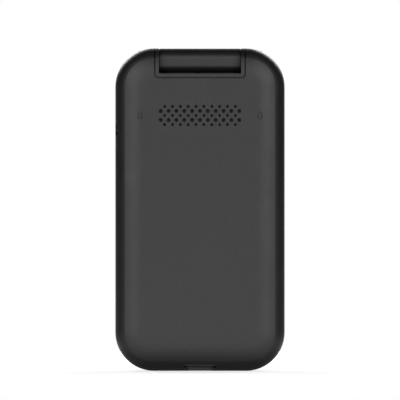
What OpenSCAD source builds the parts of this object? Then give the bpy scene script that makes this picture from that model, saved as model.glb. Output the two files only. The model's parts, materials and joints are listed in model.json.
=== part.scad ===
// Clamshell phone with a keypad, closed and standing on its lower end, hinge at the top.
// Its back faces -Y and its lid +Y. X runs across, Z runs up. Sizes are millimetres.

/* [Body] */
// Width across both halves
body_w = 57; // [54:0.5:70]
// Height when closed
body_h = 108.5; // [104:0.5:132]
// Radius of the four corners, seen from the back
corner_r = 13; // [12:0.5:16]
// Tight radius round the rim of the back and of the lid
rim_r = 4.6; // [4:0.1:5]
// How far in from the sides the outer faces begin to curve
crown_in = 9.4; // [8.5:0.1:10.5]
// Slope of that curve where it meets the rim, in degrees
crown_slope = 17; // [14:1:19]
// Edge radius where the two halves face each other
lip_r = 0.8; // [0.4:0.1:1.2]
// Wall of the outer mouldings
wall = 1.2; // [1:0.1:1.5]
// Gap at each seam between two mouldings of one half
seam = 0.1; // [0.05:0.05:0.15]
// Gap between the halves when closed
lid_gap = 0.4; // [0.35:0.05:0.8]
// Air left beside inner parts
slack = 0.1; // [0.08:0.01:0.15]

/* [Hinge] */
// Radius of the barrel that the lid turns on
barrel_r = 4; // [3.8:0.1:4.8]
// Length of the barrel
barrel_len = 27; // [24:0.5:30]
// Gap at each end of the barrel
barrel_end_gap = 0.3; // [0.2:0.05:0.5]
// How far the hinge axis lies below the keypad face
hinge_sink = 2.25; // [1.5:0.05:3]
// How far the lid opens, in degrees
open_angle = 155; // [140:1:160]
// Gap between the open lid's end and the top of the base
end_gap = 0.4; // [0.3:0.05:0.8]
// Gap between the barrel and the floor of its notch
notch_gap = 0.45; // [0.4:0.05:0.8]
// How much flatter the barrel is at its back
barrel_flat = 0.6; // [0.3:0.05:0.8]
// How much smaller the base's knuckles are than the barrel, in radius
knuckle_step = 0.1; // [0.05:0.05:0.3]
// Length of each knuckle's bored ear
ear_len = 7; // [6:0.5:8]
// Radius of the hinge unit's can
can_r = 2.9; // [2.5:0.1:3.1]
// Length of the hinge unit's can
can_len = 15; // [12:0.5:17]
// Radius of the hinge unit's shaft
shaft_r = 1.5; // [1.2:0.1:1.8]
// Radius of the hollow bush and of the cam's head
bush_r = 2.25; // [2:0.05:2.5]
// Wall of the hollow bush
bush_wall = 0.7; // [0.5:0.05:0.8]
// Running clearance of the turning parts, in radius
run_fit = 0.05; // [0.03:0.01:0.08]

/* [Base stack, back to front] */
// Battery thickness
battery_t = 4.2; // [4:0.1:6]
// Floor of the battery bay
floor_t = 0.7; // [0.6:0.1:1]
// Height of the parts on the back of the board
parts_h = 1.3; // [1.2:0.1:2]
// Circuit board thickness
board_t = 0.8; // [0.6:0.1:1.2]
// Film that holds the key domes
film_t = 0.1; // [0.08:0.01:0.15]
// Height of a key dome
dome_h = 0.2; // [0.15:0.01:0.3]
// Silicone key mat
mat_t = 0.3; // [0.25:0.05:0.5]
// Travel of a key
key_travel = 0.25; // [0.2:0.01:0.35]
// Flange that keeps a key in its hole
flange_t = 0.35; // [0.3:0.05:0.5]
// Keypad face plate
plate_t = 0.9; // [0.8:0.1:1.3]

/* [Lid stack, inside to outside] */
// How far each window lies below the face round it
window_sink = 0.1; // [0.05:0.05:0.2]
// Window over the main display
window_t = 0.8; // [0.6:0.1:1.1]
// Main display module
display_t = 1.9; // [1.6:0.1:2.5]
// Web of the lid frame behind the display
web_t = 0.6; // [0.5:0.1:1]
// Lid circuit board
lid_board_t = 0.6; // [0.5:0.1:0.9]
// Height of the parts on the lid board
lid_parts_h = 0.7; // [0.6:0.1:1.2]
// Outer display module
out_display_t = 1.5; // [1.3:0.1:2]
// Window over the outer display and the camera
out_window_t = 0.85; // [0.7:0.05:1.1]

/* [Keypad] */
// Width of a number key
key_w = 14.2; // [12:0.1:14.8]
// Height of a number key
key_h = 8.6; // [7:0.1:9.4]
// Spacing of the key columns
key_pitch_x = 15.6; // [15.4:0.1:16]
// Spacing of the key rows
key_pitch_z = 10.2; // [10:0.1:10.8]
// Height of the lowest row's centre
key_z = 11.5; // [11:0.1:12]
// Corner radius of a key
key_r = 2.6; // [1.5:0.1:3.2]
// Radius of the crown across a key's top
key_crown = 60; // [40:5:120]
// How far keys stand above the keypad face
key_rise = 0.1; // [0:0.05:0.2]
// Gap round a key
key_gap = 0.15; // [0.1:0.01:0.25]
// How far a key's flange reaches past its cap
flange_lip = 0.4; // [0.3:0.05:0.45]
// Outer radius of the four-way ring
ring_r = 11; // [10:0.1:11.4]
// Radius of the key in the middle of the ring
ok_r = 4.9; // [4:0.1:5.5]
// Gap between the ring and that key
ok_gap = 0.3; // [0.2:0.05:0.4]
// Height of the ring's centre
ring_z = 66; // [65:0.5:67]
// Width of the keys beside the ring
side_key_w = 12.2; // [11:0.1:12.6]
// Height of the keys beside the ring
side_key_h = 11; // [9:0.5:12]

/* [Back cover] */
// Columns in the speaker grille's short rows
grille_cols = 10; // [6:1:10]
// Rows in the speaker grille
grille_rows = 5; // [3:2:5]
// Spacing of the grille's columns
grille_pitch_x = 2.64; // [2.2:0.02:2.7]
// Spacing of the grille's rows
grille_pitch_z = 1.52; // [1.4:0.02:1.6]
// Radius of the holes in the short rows
grille_small_r = 0.45; // [0.3:0.01:0.5]
// Radius of the holes in the long rows
grille_large_r = 0.6; // [0.4:0.01:0.65]
// Distance of the grille's middle row below the top
grille_drop = 22.6; // [22:0.1:24]
// Distance of the two rest pads from the middle
pad_x = 20.2; // [19:0.1:21]
// Width of a rest pad
pad_w = 1.3; // [1:0.1:2]
// Height of a rest pad
pad_h = 2.7; // [2:0.1:4]
// How far the rest pads and the camera's ring stand out
pad_rise = 0.1; // [0.05:0.05:0.3]
// Width of the fingernail notch in the lower edge
nail_w = 10.8; // [8:0.2:14]
// Height of the fingernail notch
nail_h = 1.65; // [1:0.05:2]
// Width of the strip of housing beside the hinge notch
hood_w = 1.25; // [1:0.05:2]
// Groove between that strip and the cover
hood_groove = 0.35; // [0.2:0.05:0.5]
// Length of the tabs that locate the cover on the housing
tab_w = 6; // [4:0.5:8]
// Thickness of those tabs
tab_t = 0.6; // [0.5:0.05:0.7]
// How far those tabs reach past the seam
tab_reach = 1.2; // [0.8:0.1:1.4]

/* [Battery] */
// Battery width
battery_w = 37; // [32:0.5:38]
// Battery height
battery_h = 53; // [46:0.5:54]
// Lower end of the battery bay
bay_z = 8.2; // [8:0.1:9]
// Gap round the battery
bay_gap = 0.25; // [0.15:0.05:0.5]

/* [Sockets and speaker] */
// Hole radius of the headphone socket
jack_bore_r = 1.78; // [1.77:0.01:1.8]
// Depth of the headphone socket, from the side of the phone
jack_len = 14; // [13.5:0.1:14.2]
// Distance of the headphone socket below the top
jack_drop = 27.4; // [27:0.1:28]
// Distance of the headphone socket's axis behind the board
jack_sink = 3.5; // [3.4:0.05:3.6]
// Radius of the hole in the side for the plug's collar
jack_hole_r = 1.95; // [1.9:0.05:2.1]
// Outer radius of the socket's barrel
jack_barrel_r = 2.3; // [2.2:0.05:2.4]
// Charging socket width
usb_w = 8.94; // [7.5:0.02:9]
// Charging socket thickness
usb_t = 3.16; // [2.6:0.02:3.2]
// Charging socket depth
usb_len = 6.8; // [6.5:0.1:7]
// Loudspeaker width
speaker_w = 25; // [20:0.2:25.4]
// Loudspeaker height
speaker_h = 9; // [8:0.5:9.5]
// Loudspeaker thickness
speaker_t = 3.2; // [2.8:0.1:3.4]

/* [Displays and camera] */
// Main window width
window_w = 50; // [46:0.5:51]
// Main window height
window_h = 89; // [80:0.5:89.5]
// Main display module width
display_w = 46.5; // [42:0.5:47]
// Main display module height
display_h = 66; // [58:0.5:68]
// Outer window width
out_window_w = 33; // [30:0.5:36]
// Outer window height
out_window_h = 51; // [48:0.5:52]
// Outer display module width
out_display_w = 29; // [24:0.5:30]
// Outer display module height
out_display_h = 36; // [30:0.5:37]
// Outer radius of the camera's trim ring
camera_r = 4.6; // [4:0.1:5]

/* [Screws] */
// Radius of a screw's shank
screw_r = 0.7; // [0.6:0.05:0.8]
// Radius of a screw's head
screw_head_r = 1.4; // [1.2:0.05:1.5]
// Thickness of a screw's head
screw_head_t = 0.6; // [0.5:0.05:0.8]
// Radius of the bosses that the housing screws turn into
boss_r = 1.9; // [1.7:0.05:2]
// Distance of the middle and upper housing screws from the middle
screw_x = 23; // [22.8:0.1:23.2]
// Distance of the lower housing screws from the middle
low_screw_x = 17.5; // [17:0.1:18]

/* [Hidden] */
$fn = 64;

// Places along Y of the base's layers, from the back plane forward
base_t = wall + 2 * slack + battery_t + 1.5 * slack + floor_t + slack + parts_h + board_t + film_t
       + dome_h + 0.5 * slack + mat_t + key_travel + 0.5 * slack + flange_t + slack + plate_t;
lid_t = window_sink + window_t + slack + display_t + slack + web_t + slack + lid_board_t + lid_parts_h
      + slack + out_display_t + slack + out_window_t + window_sink;
total_t = base_t + lid_gap + lid_t;
back_y = -total_t / 2;
front_y = total_t / 2;
battery_y = back_y + wall + 2 * slack;
floor_y = battery_y + battery_t + 1.5 * slack;
shield_y = floor_y + floor_t + slack;
board_y = shield_y + parts_h;
film_y = board_y + board_t;
dome_y = film_y + film_t;
mat_y = dome_y + dome_h + 0.5 * slack;
flange_y = mat_y + mat_t + key_travel + 0.5 * slack;
plate_y = flange_y + flange_t + slack;
base_y = plate_y + plate_t;
key_top_y = base_y + key_rise;

// Places along Y of the lid's layers, from its inner face outward
lid_y = base_y + lid_gap;
window_y = lid_y + window_sink;
display_y = window_y + window_t + slack;
web_y = display_y + display_t + slack;
lid_board_y = web_y + web_t + slack;
out_display_y = lid_board_y + lid_board_t + lid_parts_h + slack;
out_window_y = out_display_y + out_display_t + slack;

// The outer face's section: a wide crown arc that runs into the tight rim arc
crown_r = rim_r + (crown_in - rim_r) / sin(crown_slope);
rim_depth = crown_r - (crown_r - rim_r) * cos(crown_slope);

// Planes where the mouldings part, and the hinge axis
cover_y = back_y + rim_depth;
split_y = board_y - 1.5 * slack;
lid_split_y = front_y - rim_depth;
hinge_y = base_y - hinge_sink;
hinge_z = body_h - barrel_r;
knuckle_r = barrel_r - knuckle_step;
notch_half = barrel_len / 2 + barrel_end_gap;
notch_z = hinge_z - barrel_r - notch_gap;
hood_half = notch_half + hood_w;
hood_z = notch_z - hood_w;
ear_wall = 0.9;
ear_r = bush_r + ear_wall;
tray_inset = wall + seam;

// Room inside the two halves stops below the hinge
inner_top = hood_z - 0.5;
side_x = body_w / 2;
mid_z = body_h / 2;

// The keypad: name, centre across and up, width and height. Its user sees +X on the left.
num_names = [["key_star", "key_0", "key_hash"], ["key_7", "key_8", "key_9"],
             ["key_4", "key_5", "key_6"], ["key_1", "key_2", "key_3"]];
side_key_x = ring_r + key_gap + 1.6 + side_key_w / 2;
side_key_rise = side_key_h / 2 + 1.5;
NUMBER_KEYS = [for (row = [0:3]) for (col = [0:2])
    [num_names[row][col], (1 - col) * key_pitch_x, key_z + row * key_pitch_z, key_w, key_h]];
SIDE_KEYS = [
    ["key_call", side_key_x, ring_z - side_key_rise, side_key_w, side_key_h],
    ["key_end", -side_key_x, ring_z - side_key_rise, side_key_w, side_key_h],
    ["key_soft_left", side_key_x, ring_z + side_key_rise, side_key_w, side_key_h],
    ["key_soft_right", -side_key_x, ring_z + side_key_rise, side_key_w, side_key_h]];
KEYS = concat(NUMBER_KEYS, SIDE_KEYS);

// Layers under the keys, and the domes that the ring presses
sheet_w = 49;
sheet_h = 76;
sheet_z = 43.5;
dome_r = 2.1;
ring_dome_r = 8.2;
can_hole_r = 0.5;
can_hole_pitch = 2.5;
can_hole_row = 1.5;

// Screws: the middle pair passes between the number keys and the keys beside the ring
number_top = key_z + 3 * key_pitch_z + key_h / 2;
mid_screw_z = (number_top + ring_z - side_key_rise - side_key_h / 2) / 2;
screw_seat_y = split_y - 2.4;
low_screw_z = 4.5;
top_screw_z = inner_top - 4.8;
SCREW_SIDE = [[low_screw_x, low_screw_z], [screw_x, mid_screw_z], [screw_x, top_screw_z]];
SCREWS = [for (side = [-1, 1]) for (s = SCREW_SIDE) [side * s[0], s[1]]];
boss_way_r = boss_r + 0.3;
lid_boss_r = boss_r - 0.3;
lid_seat_y = lid_y + 1.1;
lid_screw_end = web_y + web_t + 1.6;
lid_low_x = 13;
lid_low_z = 3.4;
lid_top_x = 20;
LID_SCREW_SIDE = [[lid_low_x, lid_low_z], [lid_top_x, inner_top - 0.1]];
LID_SCREWS = [for (side = [-1, 1]) for (s = LID_SCREW_SIDE) [side * s[0], s[1]]];

// Back cover: the grille, the cloth behind it and the tabs
grille_z = body_h - grille_drop;
cloth_w = grille_cols * grille_pitch_x + 2 * grille_large_r + 0.6;
cloth_h = (grille_rows - 1) * grille_pitch_z + 2 * grille_large_r + 1.3;
cloth_t = 0.2;
cloth_y = back_y + tray_inset + 0.05;
cloth_rim = 0.6;
pad_gap = 0.2;
speaker_y = back_y + tray_inset + 1.2;
tab_heights = [22, 50];
tab_across = 12;

// Battery bay and the contacts at its upper end
bay_w = battery_w + 2 * bay_gap;
bay_h = battery_h + 2 * bay_gap;
bay_top = bay_z + bay_h;
battery_z = bay_z + bay_h / 2;
scoop_r = 4.5;
contact_w = 10.6;
contact_h = 4.2;
contact_z = bay_top + 0.2 + contact_h / 2;
contact_y = battery_y + 1.5;
blades_x = [-3, 0, 3];
blade_r = 0.8;
blade_out = 0.35;
blade_w = 1;
recess_w = 1.8;
recess_t = 0.3;

// Sockets, microphone, motor and card reader
jack_z = body_h - jack_drop;
jack_y = board_y - jack_sink;
jack_face_x = -side_x + 5.2;
jack_block_x = jack_face_x + 5;
jack_end_x = -side_x + jack_len;
jack_back = 0.5;
jack_half = 3;
usb_y = board_y - usb_t / 2;
usb_z = 0.3;
usb_skin = 0.3;
tongue_t = 0.7;
mic_x = 12;
mic_z = 4.5;
mic_r = 0.5;
mic_w = 3.2;
mic_h = 2.6;
motor_x = 20.3;
motor_z = body_h - 27;
motor_r = 4;
motor_t = 2.8;
sim_z = 45;
sim_w = 17;
sim_h = 15;
sim_y = floor_y + slack;
card_w = sim_w - 1.6;
card_slot_t = 0.9;
card_view_w = 9;
card_view_h = 8;

// Hinge unit, and the flat cable through the bush
bush_x = barrel_len / 2 - 8.5;
can_x = -barrel_len / 2 + 0.2;
can_wall = 1.8;
cam_x = -notch_half - ear_len + 1.2;
barrel_low_z = -1.6;
cable_r = 1.2;
cable_t = 0.15;
cable_w = 1.6;
cable_end_x = bush_x - 2.6;
strip_w = 2.3;
strip_t = 0.2;

// Lid: windows, displays, camera and earpiece
window_z = 6.5 + window_h / 2;
display_z = window_z + 5;
earpiece_z = 14;
out_window_z = body_h - crown_in - 1 - out_window_h / 2;
out_display_z = out_window_z - out_window_h / 2 + 1.5 + out_display_h / 2;
camera_x = 6.5;
camera_z = out_window_z + out_window_h / 2 - camera_r - 2;
camera_body_w = 7.6;
camera_bore_r = camera_r - 1.1;
camera_glass_y = front_y - 0.9;
camera_glass_t = 0.5;
flash_r = 2;
lid_board_z = 8;
lid_board_top = inner_top - 2.4;
magnet_z = 3.2;
magnet_r = 2;

// ---- Helpers

// An outline in X and Z, as a plate from y0 to y1
module deep(y0, y1) {
    translate([0, y1, 0]) rotate([90, 0, 0]) linear_extrude(y1 - y0) children();
}

// An outline in Y and Z, as a bar from x0 to x1
module across(x0, x1) {
    translate([x0, 0, 0]) rotate([90, 0, 90]) linear_extrude(x1 - x0) children();
}

// A round rod along Y
module rod_y(x, z, r, y0, y1) {
    translate([x, y1, z]) rotate([90, 0, 0]) cylinder(r = r, h = y1 - y0);
}

// A round rod along X on the hinge axis
module hinge_rod(r, x0, x1) {
    translate([x0, hinge_y, hinge_z]) rotate([0, 90, 0]) cylinder(r = r, h = x1 - x0);
}

module rounded(w, h, r) {
    square([w - 2 * r, h], center = true);
    square([w, h - 2 * r], center = true);
    for (sx = [-1, 1]) for (sy = [-1, 1])
        translate([sx * (w / 2 - r), sy * (h / 2 - r)]) circle(r);
}

// A narrow outline with round ends
module stadium(w, h) {
    square([w, h - w], center = true);
    for (side = [-1, 1]) translate([0, side * (h - w) / 2]) circle(w / 2);
}

module mirrored_x() {
    children();
    mirror([1, 0, 0]) children();
}

// The closed phone's outline, seen from the back
module outline(inset = 0) {
    translate([0, mid_z]) rounded(body_w - 2 * inset, body_h - 2 * inset, corner_r - inset);
}

// Half section of an outer face, from a corner's centre outward. The face is at 0 and depth runs up.
module face_section(inset, depth) {
    reach = rim_r + 2;
    rim_at = [corner_r - rim_r, rim_depth];
    flat = corner_r - crown_in;
    intersection() {
        square([corner_r, depth]);
        union() {
            translate([0, rim_depth]) square([corner_r - inset, depth]);
            translate(rim_at) circle(rim_r - inset);
            intersection() {
                translate([flat, crown_r]) circle(crown_r - inset, $fn = 360);
                polygon([rim_at, rim_at + reach * [sin(crown_slope), -cos(crown_slope)],
                    [flat, rim_depth - reach], [flat, rim_depth + 1], [rim_at[0], rim_depth + 1]]);
            }
            translate([0, inset]) square([flat + 0.01, rim_depth]);
        }
    }
}

// Half section of an inner face, with a small edge radius
module lip_section(inset, depth) {
    translate([0, lip_r]) square([corner_r - inset, depth - lip_r]);
    translate([corner_r - inset - lip_r, lip_r]) circle(lip_r);
    square([corner_r - inset - lip_r, depth]);
}

// A slab with the body's outline whose edge follows the section given. Its face is at z = 0.
module edged_slab(face, depth) {
    flat_w = body_w - 2 * corner_r;
    flat_h = body_h - 2 * corner_r;
    translate([-flat_w / 2, -flat_h / 2, face]) cube([flat_w, flat_h, depth - face]);
    for (turn = [0, 180]) rotate(turn) {
        translate([flat_w / 2, 0, 0]) rotate([90, 0, 0]) linear_extrude(flat_h, center = true) children();
        translate([0, flat_h / 2, 0]) rotate([90, 0, 90]) linear_extrude(flat_w, center = true) children();
        translate([flat_w / 2, flat_h / 2, 0]) rotate_extrude(angle = 90) children();
        translate([-flat_w / 2, flat_h / 2, 0]) rotate(90) rotate_extrude(angle = 90) children();
    }
}

// The back of the base, or the same shape set in by a wall
module back_form(inset, depth) {
    translate([0, back_y, mid_z]) rotate([-90, 0, 0])
        edged_slab(inset, depth) face_section(inset, depth);
}

// The outside of the lid, or the same shape set in by a wall
module lid_form(inset, depth) {
    translate([0, front_y, mid_z]) rotate([90, 0, 0])
        edged_slab(inset, depth) face_section(inset, depth);
}

// The strip of housing round the hinge notch, seen from the back
module hood_outline(grow) {
    half = hood_half + grow;
    low = hood_z - grow;
    r = 1 + grow;
    translate([-half, low + r]) square([2 * half, body_h]);
    translate([-half + r, low]) square([2 * half - 2 * r, body_h]);
    for (side = [-1, 1]) translate([side * (half - r), low + r]) circle(r);
}

module hinge_notch() {
    deep(back_y - 1, front_y) translate([-notch_half, notch_z]) square([2 * notch_half, body_h]);
}

// What the lid's sides lose so that the open lid clears the top of the base
module lid_ends() {
    rise = barrel_r + end_gap;
    low_y = lid_y - 1;
    high_y = front_y + 1;
    low_z = hinge_z + (rise - (low_y - hinge_y) * sin(open_angle)) / cos(open_angle);
    high_z = hinge_z + (rise - (high_y - hinge_y) * sin(open_angle)) / cos(open_angle);
    mirrored_x() across(barrel_len / 2, side_x + 1)
        polygon([[low_y, low_z], [high_y, high_z], [high_y, body_h + 5], [low_y, body_h + 5]]);
}

// ---- Battery cover

module grille(y0, y1, grow = 0) {
    for (row = [0:grille_rows - 1]) {
        long = row % 2;
        count = grille_cols + long;
        z = grille_z + (row - (grille_rows - 1) / 2) * grille_pitch_z;
        for (i = [0:count - 1])
            rod_y((i - (count - 1) / 2) * grille_pitch_x, z,
                (long == 1 ? grille_large_r : grille_small_r) + grow, y0, y1);
    }
}

// The hole in the side of the phone that the plug goes in by
module jack_way() {
    translate([-side_x - 1, jack_y, jack_z]) rotate([0, 90, 0])
        cylinder(r = jack_hole_r, h = jack_face_x + side_x + 1);
}

module nail_notch(y0, y1) {
    deep(y0, y1) translate([0, 0.5 * nail_h - 2]) square([nail_w, nail_h + 4], center = true);
}

// The lip of the housing that a fingernail slides along, inside that notch
module nail_lip() {
    lip_w = nail_w - 2.4;
    intersection() {
        back_form(0, rim_depth + 0.5);
        deep(usb_y - usb_t / 2 - 0.6, cover_y + 0.2) translate([-lip_w / 2, -1]) square([lip_w, nail_h + 1]);
    }
}

// Tabs that locate the cover, two on each side and two along the lower edge
module cover_tabs(grow) {
    half = tab_w / 2 + grow;
    root = 0.5;
    depth = root + tab_reach + grow;
    mirrored_x() {
        for (z = tab_heights) translate([side_x - wall - grow, cover_y - root, z - half])
            cube([tab_t + 2 * grow, depth, 2 * half]);
        translate([tab_across - half, cover_y - root, wall - tab_t - grow])
            cube([2 * half, depth, tab_t + 2 * grow]);
    }
}

module battery_cover() {
    color("#444444") {
        difference() {
            back_form(0, rim_depth);
            back_form(wall, rim_depth + 1);
            deep(back_y - 1, cover_y + 1) hood_outline(hood_groove);
            grille(back_y - 1, back_y + wall + 1);
            for (side = [-1, 1]) deep(back_y - 1, back_y + 0.5 * wall)
                translate([side * pad_x, grille_z]) stadium(pad_w + 2 * pad_gap, pad_h + 2 * pad_gap);
            nail_notch(back_y - 1, cover_y + 1);
            jack_way();
        }
        cover_tabs(0);
    }
}

module cover_pads() {
    color("#303030") for (side = [-1, 1])
        deep(back_y - pad_rise, back_y + 0.5 * wall)
            translate([side * pad_x, grille_z]) stadium(pad_w, pad_h);
}

// ---- Base housings

module battery_bay(y0, y1) {
    deep(y0, y1) translate([0, battery_z]) rounded(bay_w, bay_h, 1.2);
}

// A dish for a fingertip at the battery's lower end
module finger_scoop() {
    rod_y(0, bay_z, scoop_r, back_y - 1, floor_y - 1.9);
}

// Pockets beside the battery, open towards the keypad, with ribs left between them
module side_pockets() {
    low = bay_w / 2 + 1.1;
    high = side_x - wall - 2;
    mirrored_x() for (i = [0:3])
        deep(battery_y + 2, split_y + 1) translate([low, 12.5 + 9 * i]) square([high - low, 8]);
}

// What holds the ear's outside clear of the rear housing
module ear_room() {
    mirrored_x() hinge_rod(ear_r + seam, notch_half - 1, notch_half + ear_len + slack);
}

module rear_housing() {
    color("#3a3a3c") difference() {
        union() {
            deep(cover_y, split_y) outline();
            back_form(tray_inset, rim_depth + 0.5);
            intersection() {
                back_form(0, rim_depth + 0.5);
                deep(back_y - 1, cover_y + 0.2) hood_outline(0);
            }
            nail_lip();
        }
        hinge_notch();
        battery_bay(back_y - 1, floor_y);
        finger_scoop();
        deep(floor_y + floor_t, split_y + 1) intersection() {
            outline(wall + 0.6);
            translate([-side_x, 2]) square([body_w, inner_top - 2]);
        }
        side_pockets();
        cover_tabs(slack);
        ear_room();
        speaker_room();
        jack_way();
        jack_room();
        usb_room();
        motor_room();
        contact_room();
        sim_room();
        for (s = SCREWS) {
            rod_y(s[0], s[1], screw_head_r + 0.3, back_y - 1, screw_seat_y);
            rod_y(s[0], s[1], screw_r + 0.25, screw_seat_y - 0.6, split_y + 1);
        }
    }
}

module speaker_room() {
    deep(speaker_y - slack, split_y + 1) translate([0, grille_z])
        rounded(speaker_w + 2 * slack, speaker_h + 2 * slack, 2 + slack);
    deep(back_y - 1, speaker_y) translate([0, grille_z])
        rounded(cloth_w - 2 * cloth_rim, cloth_h - 2 * cloth_rim, 1.4);
    deep(back_y - 1, cloth_y + cloth_t) translate([0, grille_z])
        rounded(cloth_w + 4 * slack, cloth_h + 4 * slack, 1.6);
}

// The socket drops into this from the board's side
module jack_room() {
    r = jack_barrel_r + slack;
    low = jack_face_x - slack;
    block = jack_block_x - slack;
    half = jack_half + slack;
    translate([low, jack_y, jack_z]) rotate([0, 90, 0]) cylinder(r = r, h = block - low + 1);
    deep(jack_y, split_y + 1) translate([low, jack_z - r]) square([block - low + 1, 2 * r]);
    deep(jack_y - r, split_y + 1) translate([block, jack_z - half])
        square([jack_end_x + jack_back + slack - block, 2 * half]);
}

module usb_room() {
    usb_hole();
    deep(usb_y - usb_t / 2 - slack, split_y + 1) translate([-usb_w / 2 - slack, wall])
        square([usb_w + 2 * slack, usb_z + usb_len + slack - wall]);
}

module usb_hole() {
    translate([0, usb_y, -1]) linear_extrude(wall + 1.5)
        rounded(usb_w + 2 * slack, usb_t + 2 * slack, usb_t / 2);
}

module motor_room() {
    rod_y(motor_x, motor_z, motor_r + 2 * slack, board_y - motor_t - 2 * slack, split_y + 1);
}

module contact_room() {
    deep(contact_y - slack, split_y + 1) translate([0, contact_z])
        square([contact_w + 4 * slack, contact_h + 6 * slack], center = true);
}

// A window in the bay's floor for the reader, and the way in for the card
module sim_room() {
    deep(floor_y - 1, split_y + 1) {
        translate([0, sim_z]) square([sim_w + 4 * slack, sim_h + 4 * slack], center = true);
        translate([-card_w / 2, sim_z - sim_h / 2 - 10]) square([card_w, sim_h]);
    }
}

module front_housing() {
    color("#3a3a3c") difference() {
        union() {
            intersection() {
                translate([0, base_y, mid_z]) rotate([90, 0, 0])
                    edged_slab(0, base_y - split_y) lip_section(0, base_y - split_y);
                deep(split_y - 1, base_y + 1) translate([-side_x - 1, -1]) square([body_w + 2, hinge_z + 1]);
            }
            intersection() {
                mirrored_x() hinge_rod(knuckle_r, notch_half, side_x);
                deep(split_y, front_y) outline(0.5 * knuckle_step);
            }
            mirrored_x() hinge_rod(ear_r, notch_half, notch_half + ear_len);
        }
        hinge_notch();
        difference() {
            deep(split_y - 1, plate_y) intersection() {
                outline(wall);
                translate([-side_x, 0]) square([body_w, inner_top]);
            }
            for (s = SCREWS) rod_y(s[0], s[1], boss_r, split_y - 2, plate_y + 1);
        }
        for (s = SCREWS) rod_y(s[0], s[1], screw_r + 0.02, split_y - 2, plate_y - 0.3);
        for (k = KEYS) deep(plate_y - 1, base_y + 1) translate([k[1], k[2]])
            rounded(k[3] + 2 * key_gap, k[4] + 2 * key_gap, key_r + key_gap);
        rod_y(0, ring_z, ring_r + key_gap, plate_y - 1, base_y + 1);
        difference() {
            hinge_rod(bush_r + run_fit, -notch_half - ear_len + 1, -notch_half + 1);
            cam_flat(0);
        }
        hinge_rod(bush_r + run_fit, notch_half - 1, notch_half + ear_len + 0.5);
        flex_slot();
        usb_hole();
        rod_y(mic_x, mic_z, mic_r, plate_y - 1, base_y + 1);
    }
}

module housing_screws() {
    color("#9a9a9c") for (s = SCREWS) {
        rod_y(s[0], s[1], screw_head_r, screw_seat_y - screw_head_t, screw_seat_y);
        rod_y(s[0], s[1], screw_r, screw_seat_y, split_y + 1.6);
    }
}

// ---- Inside the base

module main_board() {
    color("#1d5a3a") difference() {
        deep(board_y, film_y) intersection() {
            outline(wall + 0.9);
            translate([-side_x, 0]) square([body_w, inner_top - 0.5]);
        }
        for (s = SCREWS) rod_y(s[0], s[1], boss_way_r, board_y - 1, film_y + 1);
    }
}

// A thin sheet can with rows of small holes, open towards the board
module shield_can(x, z, w, h, columns) {
    sheet = 0.2;
    translate([x, 0, z]) difference() {
        deep(shield_y, board_y) rounded(w, h, 0.8);
        deep(shield_y + sheet, board_y + 1) rounded(w - 2 * sheet, h - 2 * sheet, 0.6);
        for (i = [0:columns - 1]) for (side = [-1, 1])
            rod_y((i - (columns - 1) / 2) * can_hole_pitch, side * can_hole_row, can_hole_r,
                shield_y - 1, shield_y + 1, $fn = 24);
    }
}

module shield_cans() {
    color("#b9bcc0") {
        shield_can(0, 19.5, 35, 15, 9);
        shield_can(8, bay_top + 10.3, 28, 10, 6);
    }
}

module key_dome_film() {
    color("#d8d4c6") {
        deep(film_y, dome_y) difference() {
            translate([0, sheet_z]) rounded(sheet_w, sheet_h, 3);
            for (s = SCREWS) translate(s) circle(boss_way_r);
        }
        for (k = KEYS) dome(k[1], k[2]);
        dome(0, ring_z);
        for (a = [0:90:270]) dome(ring_dome_r * cos(a), ring_z + ring_dome_r * sin(a));
    }
}

module dome(x, z) {
    translate([x, dome_y, z]) rotate([-90, 0, 0]) cylinder(r1 = dome_r, r2 = dome_r - 0.8, h = dome_h);
}

module keypad_mat() {
    color("#6d6f73") deep(mat_y, mat_y + mat_t) difference() {
        translate([0, sheet_z]) rounded(sheet_w + 1, sheet_h + 1, 3);
        for (s = SCREWS) translate(s) circle(boss_way_r);
    }
}

module battery_pack() {
    color("#26282c") difference() {
        deep(battery_y, battery_y + battery_t) translate([0, battery_z]) rounded(battery_w, battery_h, 1);
        for (x = blades_x) translate([x - recess_w / 2, battery_y + 1, battery_z + battery_h / 2 - recess_t])
            cube([recess_w, battery_t - 1.8, 1]);
    }
}

module battery_contacts() {
    color("#c9a24a") {
        deep(contact_y, board_y) translate([0, contact_z]) square([contact_w, contact_h], center = true);
        for (x = blades_x) translate([x - blade_w / 2, contact_y + 1.2, bay_top + 0.2 + blade_r - blade_out])
            rotate([0, 90, 0]) cylinder(r = blade_r, h = blade_w);
    }
}

module sim_reader() {
    color("#b9bcc0") difference() {
        deep(sim_y, board_y) translate([0, sim_z]) square([sim_w, sim_h], center = true);
        translate([-card_w / 2, sim_y + 0.3, sim_z - sim_h / 2 - 1]) cube([card_w, card_slot_t, sim_h]);
        deep(sim_y - 1, sim_y + 0.5) translate([0, sim_z]) rounded(card_view_w, card_view_h, 1);
    }
}

module usb_socket() {
    shell_w = usb_w - 2 * usb_skin;
    shell_t = usb_t - 2 * usb_skin;
    color("#a9abb0") {
        difference() {
            translate([0, usb_y, usb_z]) linear_extrude(usb_len) rounded(usb_w, usb_t, usb_t / 2 - 0.02);
            translate([0, usb_y, usb_z - 1]) linear_extrude(usb_len)
                rounded(shell_w, shell_t, shell_t / 2 - 0.02);
        }
        translate([-shell_w / 2 + 0.8, usb_y - tongue_t / 2, usb_z + 1])
            cube([shell_w - 1.6, tongue_t, usb_len - 1.5]);
    }
}

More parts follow.
